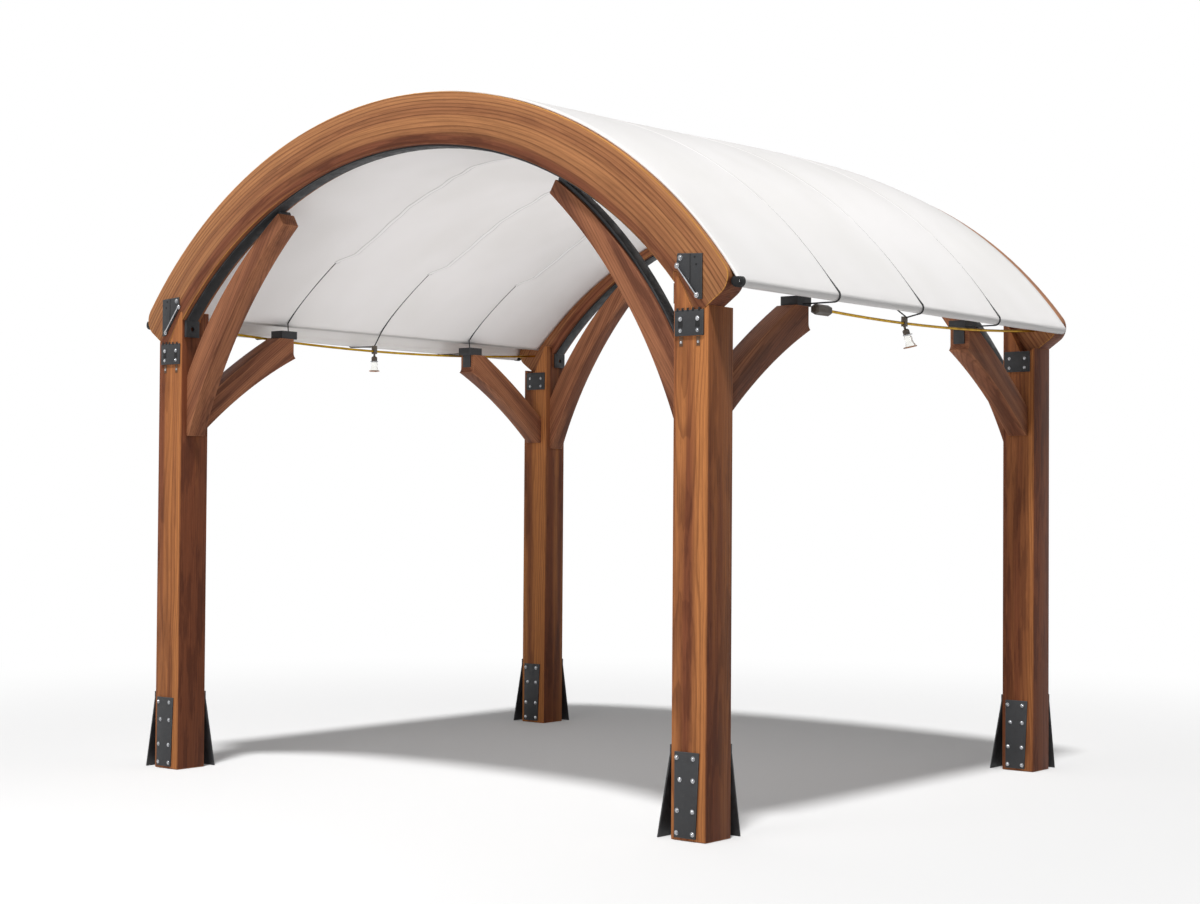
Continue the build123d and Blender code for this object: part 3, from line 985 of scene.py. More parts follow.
@dataclass(frozen=True)
class SteelFinish(Finish):
    """Black coat on folded steel."""

    name: str
    coat: Color
    faded: Color
    dust: Color
    dust_share: float
    roughness: float

    def build(self, effects: Effects) -> bpy.types.Material:
        """Make the material.

        Args:
            effects: the shared node groups.

        Returns:
            The material.
        """
        material, graph, shader = self.start(self.name)
        coat = self.effect(graph, effects.mottle, Vector=self.object_place(graph))
        color = graph.mix(coat.outputs["Cloud"], self.coat, self.faded)
        share = graph.math("MULTIPLY", coat.outputs["Dust"], self.dust_share)
        color = graph.mix(share, color, self.dust)
        graph.feed(shader.inputs["Base Color"], color)
        low, high = self.roughness - 0.08, self.roughness + 0.14
        graph.feed(shader.inputs["Roughness"], graph.ease(coat.outputs["Cloud"], 0.0, 1.0, low, high))
        graph.feed(shader.inputs["Normal"], graph.bump(coat.outputs["Peel"], 0.0005, 0.5))
        return material


@dataclass(frozen=True)
class MetalFinish(Finish):
    """Bare or plated metal with a cloudy tarnish."""

    name: str
    bright: Color
    tarnish: Color
    roughness: float

    def build(self, effects: Effects) -> bpy.types.Material:
        """Make the material.

        Args:
            effects: the shared node groups.

        Returns:
            The material.
        """
        material, graph, shader = self.start(self.name)
        coat = self.effect(graph, effects.mottle, Vector=self.object_place(graph))
        graph.feed(
            shader.inputs["Base Color"], graph.mix(coat.outputs["Cloud"], self.bright, self.tarnish)
        )
        shader.inputs["Metallic"].default_value = 1.0
        low, high = self.roughness - 0.08, self.roughness + 0.16
        graph.feed(shader.inputs["Roughness"], graph.ease(coat.outputs["Dust"], 0.0, 1.0, low, high))
        graph.feed(shader.inputs["Normal"], graph.bump(coat.outputs["Peel"], 0.0002, 0.4))
        return material


@dataclass(frozen=True)
class CanvasFinish(Finish):
    """White coated canvas, woven, with soft creases and painted shade that dulls it where it is seen at a
    slant.
    """

    name: str
    cloth: Color
    shadow: Color
    crease_depth: float = 0.006
    # Share of the colour left where the cloth is seen edge-on: painted shade.
    slant_shade: float = 0.8

    def build(self, effects: Effects) -> bpy.types.Material:
        """Make the material.

        Args:
            effects: the shared node groups.

        Returns:
            The material. It reads the piece's UV map, in metres.
        """
        material, graph, shader = self.start(self.name)
        flat = graph.node("ShaderNodeUVMap", uv_map="cloth").outputs["UV"]
        weave = self.effect(graph, effects.weave, Vector=flat)
        cloud = graph.ease(weave.outputs["Cloud"], 0.35, 0.7)
        color = graph.mix(cloud, self.cloth, self.shadow)
        # Painted shade: the cloth darkens where it is seen at a slant.
        slant = graph.node("ShaderNodeLayerWeight").outputs["Facing"]
        slant_shade = graph.ease(slant, 0.72, 1.0, 1.0, self.slant_shade)
        color = graph.mix(1.0, color, graph.together(slant_shade, slant_shade, slant_shade), "MULTIPLY")
        graph.feed(shader.inputs["Base Color"], color)
        graph.feed(shader.inputs["Roughness"], graph.ease(weave.outputs["Thread"], 0.0, 1.0, 0.72, 0.86))
        crease = graph.bump(weave.outputs["Crease"], self.crease_depth, 0.5)
        graph.feed(shader.inputs["Normal"], graph.bump(weave.outputs["Thread"], 0.0003, 0.4, crease))
        shader.inputs["Specular IOR Level"].default_value = 0.1
        return material


@dataclass(frozen=True)
class GlassFinish(Finish):
    """Clear pressed glass."""

    name: str = "lamp_glass_clear"
    tint: Color = (0.97, 0.97, 0.95, 1.0)

    def build(self, effects: Effects) -> bpy.types.Material:
        """Make the material.

        Args:
            effects: the shared node groups.

        Returns:
            The material.
        """
        material, graph, shader = self.start(self.name)
        coat = self.effect(graph, effects.mottle, Vector=self.object_place(graph))
        graph.feed(shader.inputs["Roughness"], graph.ease(coat.outputs["Dust"], 0.0, 1.0, 0.02, 0.1))
        shader.inputs["Base Color"].default_value = self.tint
        shader.inputs["Transmission Weight"].default_value = 1.0
        shader.inputs["IOR"].default_value = 1.47
        return material


@dataclass(frozen=True)
class CordFinish(Finish):
    """Braided cord, dark and slightly shiny."""

    name: str = "braided_cord"
    strand: Color = field(default_factory=lambda: paint(52, 52, 54))
    gap: Color = field(default_factory=lambda: paint(20, 20, 22))

    def build(self, effects: Effects) -> bpy.types.Material:
        """Make the material.

        Args:
            effects: the shared node groups; not used.

        Returns:
            The material.
        """
        material, graph, shader = self.start(self.name)
        place = self.object_place(graph)
        x, y, z = graph.apart(place)
        braid_pitch = 0.007
        lean = graph.math("ADD", graph.math("ADD", x, z), graph.math("MULTIPLY", y, 2.0))
        wave = graph.math("SINE", graph.math("MULTIPLY", lean, math.tau / braid_pitch))
        wave = graph.ease(wave, -0.6, 0.8)
        graph.feed(shader.inputs["Base Color"], graph.mix(wave, self.gap, self.strand))
        graph.feed(shader.inputs["Roughness"], graph.ease(wave, 0.0, 1.0, 0.75, 0.5))
        graph.feed(shader.inputs["Normal"], graph.bump(wave, 0.0008, 0.6))
        return material


class Palette:
    """All finishes of the gazebo as materials."""

    def __init__(self, layout: Layout) -> None:
        """Build every material.

        Args:
            layout: the measured frame, for the arches' curve.
        """
        effects = Effects()
        bend = layout.arch_middle_radius
        post_low, post_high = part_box("front_left_post")
        half_post = (post_high.x - post_low.x) / 2
        post_pith, arch_pith, brace_pith = (0.0, -0.03, 0.1), (0.0, -0.14, 0.04), (0.0, 0.06, 0.06)
        self.post = TimberFinish(
            "timber_post", paint(184, 119, 70), paint(122, 70, 46), paint(82, 44, 30),
            post_pith, 0.5, pitch=0.0062, late=0.5, face=half_post,
        ).build(effects)
        # Lighter colours on the eased arrises of the posts: painted highlight.
        self.post_edge_highlight = TimberFinish(
            "timber_post_arris_highlight", paint(178, 114, 68), paint(146, 90, 57), paint(104, 60, 38),
            post_pith, 0.35, pitch=0.0062, late=0.4,
        ).build(effects)
        self.arch = TimberFinish(
            "timber_arch", paint(176, 121, 80), paint(126, 75, 53), paint(88, 49, 34),
            arch_pith, 0.44, pitch=0.0135, late=0.62, bent_radius=bend,
        ).build(effects)
        # Lighter, golden colours on the eased arrises of the arches: painted highlight.
        self.arch_edge_highlight = TimberFinish(
            "timber_arch_arris_highlight", paint(206, 146, 76), paint(130, 80, 54), paint(100, 60, 40),
            arch_pith, 0.3, pitch=0.0135, late=0.4, bent_radius=bend,
        ).build(effects)
        self.brace = TimberFinish(
            "timber_brace", paint(162, 107, 76), paint(122, 76, 56), paint(84, 50, 36),
            brace_pith, 0.5, pitch=0.0085, late=0.5,
        ).build(effects)
        # Lighter colours on the eased arrises of the braces: painted highlight.
        self.brace_edge_highlight = TimberFinish(
            "timber_brace_arris_highlight", paint(168, 113, 80), paint(136, 88, 64), paint(100, 62, 46),
            brace_pith, 0.4, pitch=0.0085, late=0.4,
        ).build(effects)
        self.steel = SteelFinish(
            "black_coat", paint(36, 36, 38), paint(49, 50, 52), paint(92, 90, 88), 0.22, 0.55
        ).build(effects)
        # Lighter grey on the eased edges of the ironwork: painted highlight.
        self.steel_edge_highlight = SteelFinish(
            "black_coat_edge_highlight", paint(56, 57, 59), paint(74, 75, 77), paint(116, 114, 112), 0.3, 0.5
        ).build(effects)
        self.zinc = MetalFinish(
            "zinc_bolt", paint(206, 207, 210), paint(150, 152, 156), 0.3
        ).build(effects)
        self.brass = MetalFinish(
            "brass_rod", paint(206, 164, 44), paint(172, 130, 24), 0.42
        ).build(effects)
        self.lamp_rim = MetalFinish(
            "lamp_rim", paint(186, 140, 112), paint(136, 102, 82), 0.3
        ).build(effects)
        self.bronze = SteelFinish(
            "dark_bronze", paint(74, 66, 58), paint(98, 88, 76), paint(150, 128, 96), 0.3, 0.42
        ).build(effects)
        self.canvas = CanvasFinish(
            "white_canvas", paint(249, 247, 246), paint(244, 242, 240)
        ).build(effects)
        # Grey for stitching, also painted shade along the outer sleeve ridges and the lining sleeves' edges.
        self.stitch = CanvasFinish(
            "seam_stitch_and_shade", paint(222, 219, 218), paint(213, 210, 209), 0.002
        ).build(effects)
        self.lining = CanvasFinish(
            "lining_canvas", paint(246, 243, 242), paint(240, 237, 235), 0.004
        ).build(effects)
        # Near black, for the webbing caps, and as painted shade in the slots, holes and fold lines of the
        # plates.
        self.webbing_and_hole_shade = SteelFinish(
            "black_webbing_and_hole_shade", paint(16, 16, 17), paint(24, 24, 25), paint(52, 52, 54), 0.1, 0.75
        ).build(effects)
        # Dark brown for the drip slots below the joint plates.
        self.slot = SteelFinish(
            "dark_brown_slot", paint(88, 62, 44), paint(112, 82, 58), paint(140, 112, 84), 0.3, 0.7
        ).build(effects)
        self.glass = GlassFinish().build(effects)
        self.cord = CordFinish().build(effects)


@dataclass
class Timbers:
    """Posts, arches and knee braces, with eased arrises."""

    layout: Layout
    palette: Palette
    arris: float = 0.0035
    grain_step: float = 3.7
    post_shift: float = 0.01
    brace_shift: tuple[float, float] = (0.02, 0.012)
    arch_shift: float = 0.02
    post_hearts: Sequence[float] = (0.15, 0.0, -0.25, 0.3)
    gable_run: tuple[float, float] = (0.54, 0.84)
    eave_run: tuple[float, float] = (0.8, 0.6)

    def build(self) -> None:
        """Dress every timber."""
        count = len(self.post_hearts)
        for index, (end, hand, corner) in enumerate(corners(), start=1):
            self.post(f"{corner}_post", index, self.post_hearts[index - 1])
            across, up = self.gable_run
            self.brace(f"{corner}_gable_brace", Vector((across, 0, -up * hand.sign)), index + count)
            across, up = self.eave_run
            self.brace(f"{corner}_eave_brace", Vector((0, across, -up * end.sign)), index + 2 * count)
        for end in End:
            self.arch(f"{end.value}_arch", end)

    def cut(self, node: str, body: bpy.types.Material, edge: bpy.types.Material) -> bpy.types.Object:
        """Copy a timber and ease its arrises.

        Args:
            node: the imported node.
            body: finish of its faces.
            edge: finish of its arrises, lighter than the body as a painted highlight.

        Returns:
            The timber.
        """
        piece = copy_of_node(node, f"{node}_timber")
        piece.data.materials.append(body)
        piece.data.materials.append(edge)
        ease_edges(piece, self.arris)
        return piece

    @staticmethod
    def write_grain(
        piece: bpy.types.Object, rows: Sequence[Vector], origin: Vector, shift: Vector, heart: float = 0.0
    ) -> None:
        """Give a timber its own grain coordinates.

        Args:
            piece: the timber.
            rows: directions along, across and through it.
            origin: where they start.
            shift: moves the figure, so that no two timbers match.
            heart: how much more heartwood it has than others of its kind.
        """
        values: list[float] = []
        for vertex in piece.data.vertices:
            reach = vertex.co - origin
            values.extend(reach.dot(row) + move for row, move in zip(rows, shift))
        attribute = piece.data.attributes.new("grain", "FLOAT_VECTOR", "POINT")
        attribute.data.foreach_set("vector", values)
        share = piece.data.attributes.new("heart", "FLOAT", "POINT")
        share.data.foreach_set("value", [heart] * len(piece.data.vertices))

    def post(self, node: str, index: int, heart: float) -> None:
        """Dress a post, with its grain upright.

        Args:
            node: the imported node.
            index: which timber this is.
            heart: how much more heartwood it has than the other posts.
        """
        piece = self.cut(node, self.palette.post, self.palette.post_edge_highlight)
        low, high = box_of(piece)
        middle = (low + high) / 2
        rows = (Vector((0, 0, 1)), Vector((1, 0, 0)), Vector((0, 1, 0)))
        shift = Vector((self.grain_step * index, 0, self.post_shift * math.cos(index * 1.7)))
        self.write_grain(piece, rows, Vector((middle.x, middle.y, 0)), shift, heart)
        hand_over(piece, Slot.TIMBER, node)

    def brace(self, node: str, along: Vector, index: int) -> None:
        """Dress a knee brace, with its grain along its length.

        Args:
            node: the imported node.
            along: rough direction of its length.
            index: which timber this is.
        """
        piece = self.cut(node, self.palette.brace, self.palette.brace_edge_highlight)
        low, high = box_of(piece)
        along = along.normalized()
        through = Vector((0, 1, 0)) if abs(along.x) > 0.01 else Vector((1, 0, 0))
        rows = (along, through.cross(along), through)
        across, deep = self.brace_shift
        shift = Vector((self.grain_step * index, across * math.sin(index * 1.9), deep * math.cos(index)))
        self.write_grain(piece, rows, (low + high) / 2, shift)
        hand_over(piece, Slot.TIMBER, node)

    def arch(self, node: str, end: End) -> None:
        """Dress an arch, with its grain bent round it.

        Args:
            node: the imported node.
            end: which arch it is.
        """
        piece = self.cut(node, self.palette.arch, self.palette.arch_edge_highlight)
        low, high = box_of(piece)
        rows = (Vector((1, 0, 0)), Vector((0, 1, 0)), Vector((0, 0, 1)))
        origin = Vector((0, (low.y + high.y) / 2, self.layout.arch_center_z))
        self.write_grain(piece, rows, origin, Vector((0, self.arch_shift * end.sign, 0)))
        hand_over(piece, Slot.TIMBER, node)


@dataclass
class Ironwork:
    """Black plates, straps, bars and brackets, with their bolts."""

    layout: Layout
    palette: Palette
    edge: float = 0.0012
    bolt_radius: float = 0.0066
    stay_bolt: float = 1.05
    foot_bolt: float = 0.9
    large_bolt: float = 0.88
    small_bolt: float = 0.72
    bolt_slot: tuple[float, float] = (0.019, 0.038)
    bolt_slot_drop: float = 0.011
    mark_rise: float = 0.0009
    nub_shares: Sequence[float] = (0.1, 0.28, 0.46, 0.64, 0.86)
    nub_size: tuple[float, float] = (0.009, 0.011)
    nub_lift: float = 0.002
    fold_share: float = 0.456
    fold_end_shares: tuple[float, float] = (0.97, 0.22)
    fold_width: float = 0.003
    hole_shares: Sequence[tuple[float, float]] = ((0.28, 0.9), (0.22, 0.74), (0.72, 0.5))
    hole_size: tuple[float, float] = (0.007, 0.007)
    stay_shares: Sequence[tuple[float, float]] = ((0.84, 0.9), (0.97, 0.74), (0.2, 0.09))
    stay_lift: float = 0.004
    stay_radius: float = 0.0026
    joint_columns: tuple[float, float] = (0.2, 0.8)
    joint_rows: tuple[float, float] = (0.66, 0.2)
    foot_rows: Sequence[float] = (0.93, 0.675, 0.315, 0.055)
    foot_columns: Sequence[tuple[float, float]] = ((0.1, 0.78), (0.24, 0.8), (0.14, 0.82), (0.12, 0.86))
    foot_taper: float = 0.12
    drip_half: float = 0.008
    drip_span: tuple[float, float] = (0.002, 0.036)
    drip_rise: float = 0.0012
    drip_round: float = 0.0005
    pin_drop: float = 0.022
    pin_radius: float = 0.0034

    def build(self) -> None:
        """Dress every piece of ironwork."""
        for end in End:
            self.plain(f"{end.value}_soffit_bar")
        for end, hand, corner in corners():
            self.plain(f"{corner}_gable_strap")
            self.plain(f"{corner}_eave_bracket")
            self.foot(corner)
            self.head(corner, end, hand)

    def coated(self, node: str) -> bpy.types.Object:
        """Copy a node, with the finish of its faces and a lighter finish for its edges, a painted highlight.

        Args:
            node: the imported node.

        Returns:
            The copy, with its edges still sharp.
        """
        piece = copy_of_node(node, f"{node}_coated")
        piece.data.materials.append(self.palette.steel)
        piece.data.materials.append(self.palette.steel_edge_highlight)
        return piece

    def plain(self, node: str) -> None:
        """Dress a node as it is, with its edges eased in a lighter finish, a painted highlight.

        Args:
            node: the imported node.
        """
        piece = self.coated(node)
        ease_edges(piece, self.edge)
        hand_over(piece, Slot.STEEL, node)

    def bolt(self, radius: float) -> bpy.types.Object:
        """Model one domed bolt head on its washer.

        Args:
            radius: radius of the head.

        Returns:
            The bolt, upright on the origin.
        """
        washer, thick = radius * 1.45, radius * 0.22
        head = radius * 0.75
        profile = (
            (washer, -0.0002), (washer, thick * 0.8), (washer * 0.95, thick), (radius * 1.02, thick),
            (radius, thick + head * 0.35), (radius * 0.86, thick + head * 0.7),
            (radius * 0.55, thick + head * 0.94), (radius * 0.18, thick + head),
        )
        piece = lathe("bolt", profile, 16)
        piece.data.materials.append(self.palette.zinc)
        return piece

    def solids(self, node: str) -> list[bpy.types.Object]:
        """Copy a node of several plates, one object for each.

        Args:
            node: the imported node.

        Returns:
            The plates.
        """
        piece = self.coated(node)
        with editing(piece):
            bpy.ops.mesh.select_all(action="SELECT")
            bpy.ops.mesh.separate(type="LOOSE")
        plates = list(bpy.context.selected_objects)
        for plate in plates:
            ease_edges(plate, self.edge)
        return plates

    def foot(self, corner: str) -> None:
        """Dress the plates on a post's foot and bolt the strap on.

        Args:
            corner: the corner's name.
        """
        node = f"{corner}_foot_plates"
        plates = self.solids(node)
        strap = min(plates, key=lambda plate: box_of(plate)[1].y)
        low, high = box_of(strap)
        places = []
        for row, columns in zip(self.foot_rows, self.foot_columns):
            for share in columns:
                taper = 1 - self.foot_taper * (1 - row)
                x = low.x + (high.x - low.x) * share * taper
                z = low.z + (high.z - low.z) * row
                places.append(facing(Vector((x, low.y, z)), Vector((0, -1, 0))))
        bolts = stamp(self.bolt(self.bolt_radius * self.foot_bolt), f"{corner}_foot_bolts", places)
        hand_over(bolts, None)
        hand_over(join(f"{node}_coated", plates), Slot.STEEL, node)

    def head(self, corner: str, end: End, hand: Hand) -> None:
        """Dress the plates on a post's head, with their bolts, stay and drip slots.

        Args:
            corner: the corner's name.
            end: which arch it is at.
            hand: which side it is on.
        """
        node = f"{corner}_head_plates"
        plates = self.solids(node)
        gusset = max(plates, key=lambda plate: box_of(plate)[1].z)
        outward = Vector((0, end.sign, 0))
        sizes = {self.large_bolt: [], self.small_bolt: []}
        slots, marks = [], []
        for plate in plates:
            low, high = box_of(plate)
            middle = (low + high) / 2
            outer = (middle.y - self.layout.axis_y) * end.sign > self.layout.vault_y
            normal = outward if outer else -outward
            face_y = high.y if normal.y > 0 else low.y
            if plate is gusset:
                continue
            for across in self.joint_columns:
                x = low.x + (high.x - low.x) * across
                for up in self.joint_rows:
                    z = low.z + (high.z - low.z) * up
                    large = end is End.FRONT and up == max(self.joint_rows)
                    size = self.large_bolt if large else self.small_bolt
                    sizes[size].append(facing(Vector((x, face_y, z)), normal))
                    # A near-black slot under each large bolt: painted shade.
                    if large:
                        slot = Vector((x, face_y, z - self.bolt_slot_drop))
                        marks.append(self.mark(slot, normal, self.bolt_slot))
                if end is End.FRONT:
                    slots.append((x, face_y - normal.y * (high.y - low.y), low.z, normal))
            if end is End.FRONT:
                marks.extend(self.nubs(low, high, normal))
        bolts = [
            stamp(self.bolt(self.bolt_radius * size), f"{corner}_joint_bolts", places)
            for size, places in sizes.items() if places
        ]
        bolts.extend(self.stay(gusset, hand, outward))
        marks.extend(self.gusset_marks(gusset, hand, outward))
        hand_over(join(f"{corner}_head_bolts", bolts), None)
        hand_over(join(f"{corner}_head_marks", marks), Slot.STEEL)
        if slots:
            self.drips(corner, slots)
        hand_over(join(f"{node}_coated", plates), Slot.STEEL, node)

    def mark(self, place: Vector, normal: Vector, size: tuple[float, float]) -> bpy.types.Object:
        """Model a flat near-black patch on a plate; for a slot, a hole or a fold it is painted shade.

        Args:
            place: its middle, on the plate's face.
            normal: the plate's normal.
            size: its width and height.

        Returns:
            The patch.
        """
        reach = Vector((size[0] / 2, 0, size[1] / 2))
        ends = (place - reach - normal * FLAT_GAP, place + reach + normal * self.mark_rise)
        ordered = [sorted(pair) for pair in zip(*ends)]
        patch = block("mark", *zip(*ordered), self.mark_rise / 3)
        patch.data.materials.append(self.palette.webbing_and_hole_shade)
        return patch

    def nubs(self, low: Vector, high: Vector, normal: Vector) -> list[bpy.types.Object]:
        """Model the small dark nubs along a joint plate's upper edge.

        Args:
            low: the plate's lowest corner.
            high: its highest corner.
            normal: its normal.

        Returns:
            The nubs.
        """
        face_y = high.y if normal.y > 0 else low.y
        width, level = high.x - low.x, high.z + self.nub_lift
        places = [Vector((low.x + width * share, face_y, level)) for share in self.nub_shares]
        return [self.mark(place, normal, self.nub_size) for place in places]

    @staticmethod
    def on_gusset(gusset: bpy.types.Object, hand: Hand, outward: Vector, inward: float, up: float) -> Vector:
        """Point on a gusset's face.

        Args:
            gusset: the gusset plate.
            hand: which side it is on.
            outward: normal of its face.
            inward: share of its width from its outer edge.
            up: share of its height.

        Returns:
            The point.
        """
        low, high = box_of(gusset)
        outer_x = high.x if hand is Hand.RIGHT else low.x
        x = outer_x - hand.sign * (high.x - low.x) * inward
        return Vector((x, high.y if outward.y > 0 else low.y, low.z + (high.z - low.z) * up))

    def gusset_marks(self, gusset: bpy.types.Object, hand: Hand, outward: Vector) -> list[bpy.types.Object]:
        """Model the fold line and the small holes of a gusset, as near-black patches of painted shade.

        Args:
            gusset: the gusset plate.
            hand: which side it is on.
            outward: normal of its face.

        Returns:
            The marks.
        """
        top, foot = (
            self.on_gusset(gusset, hand, outward, self.fold_share, up) for up in self.fold_end_shares
        )
        line = self.mark((top + foot) / 2, outward, (self.fold_width, top.z - foot.z))
        holes = [
            self.mark(self.on_gusset(gusset, hand, outward, *place), outward, self.hole_size)
            for place in self.hole_shares
        ]
        return [line, *holes]

    def stay(self, gusset: bpy.types.Object, hand: Hand, outward: Vector) -> list[bpy.types.Object]:
        """Model the bright stay along a gusset's slanted edge, with its three bolts.

        Args:
            gusset: the gusset plate.
            hand: which side it is on.
            outward: normal of its face.

        Returns:
            The stay and its bolts.
        """
        knuckle, point, foot = (
            self.on_gusset(gusset, hand, outward, *place) for place in self.stay_shares
        )
        lift = outward * self.stay_lift
        stay = tube("stay", [point + lift, foot + lift], self.stay_radius, 3)
        stay.data.materials.append(self.palette.zinc)
        places = [facing(place, outward) for place in (knuckle, point, foot)]
        return [stay, stamp(self.bolt(self.bolt_radius * self.stay_bolt), "stay_bolts", places)]

    def drips(self, corner: str, slots: Sequence[tuple[float, float, float, Vector]]) -> None:
        """Model the dark slots with a bright pin that show below each joint plate.

        Args:
            corner: the corner's name.
            slots: X, face, upper end and normal of each slot.
        """
        dark, pins = [], []
        first, last = self.drip_span
        for x, face_y, top, normal in slots:
            reach = normal * self.drip_rise
            base = Vector((x, face_y, top))
            low = base + Vector((-self.drip_half, 0, -last))
            high = base + Vector((self.drip_half, 0, -first)) + reach
            ordered = [sorted(pair) for pair in zip(low, high)]
            slot = block("slot", *zip(*ordered), self.drip_round)
            slot.data.materials.append(self.palette.slot)
            dark.append(slot)
            pins.append(facing(base + reach + Vector((0, 0, -self.pin_drop)), normal))
        hand_over(join(f"{corner}_drip_slots", dark), None)
        hand_over(stamp(self.bolt(self.pin_radius), f"{corner}_drip_pins", pins), None)


class Weaver:
    """Makes pieces of cloth from rows of points."""

    @staticmethod
    def cloth(
        name: str, rows: Sequence[Sequence[Vector]], finish: bpy.types.Material, thickness: float
    ) -> bpy.types.Object:
        """Make a piece of cloth.

        Args:
            name: the piece's name.
            rows: its points, row by row.
            finish: its material.
            thickness: its thickness.

        Returns:
            The cloth, with a map in metres.
        """
        width = len(rows[0])
        vertices = [point for row in rows for point in row]
        faces = [
            (r * width + c, r * width + c + 1, (r + 1) * width + c + 1, (r + 1) * width + c)
            for r in range(len(rows) - 1)
            for c in range(width - 1)
        ]
        middle = rows[len(rows) // 2]
        across = [0.0]
        for before, after in zip(middle, middle[1:]):
            across.append(across[-1] + (after - before).length)
        down = [0.0]
        for before, after in zip(rows, rows[1:]):
            down.append(down[-1] + (after[width // 2] - before[width // 2]).length)
        mesh = bpy.data.meshes.new(name)
        mesh.from_pydata(vertices, [], faces)
        layer = mesh.uv_layers.new(name="cloth")
        for loop in mesh.loops:
            row, column = divmod(loop.vertex_index, width)
            layer.data[loop.index].uv = (across[column], down[row])
        mesh.materials.append(finish)
        piece = bpy.data.objects.new(name, mesh)
        bpy.context.scene.collection.objects.link(piece)
        with editing(piece):
            bpy.ops.mesh.select_all(action="SELECT")
            bpy.ops.mesh.normals_make_consistent(inside=False)
        apply_modifier(piece, "SOLIDIFY", thickness=thickness, offset=0.0, use_even_offset=True)
        pick_only(piece)
        bpy.ops.object.shade_smooth()
        return piece

    @staticmethod
    def width_of(row: Sequence[Vector]) -> float:
        """Length along a row of points."""
        return sum((after - before).length for before, after in zip(row, row[1:]))


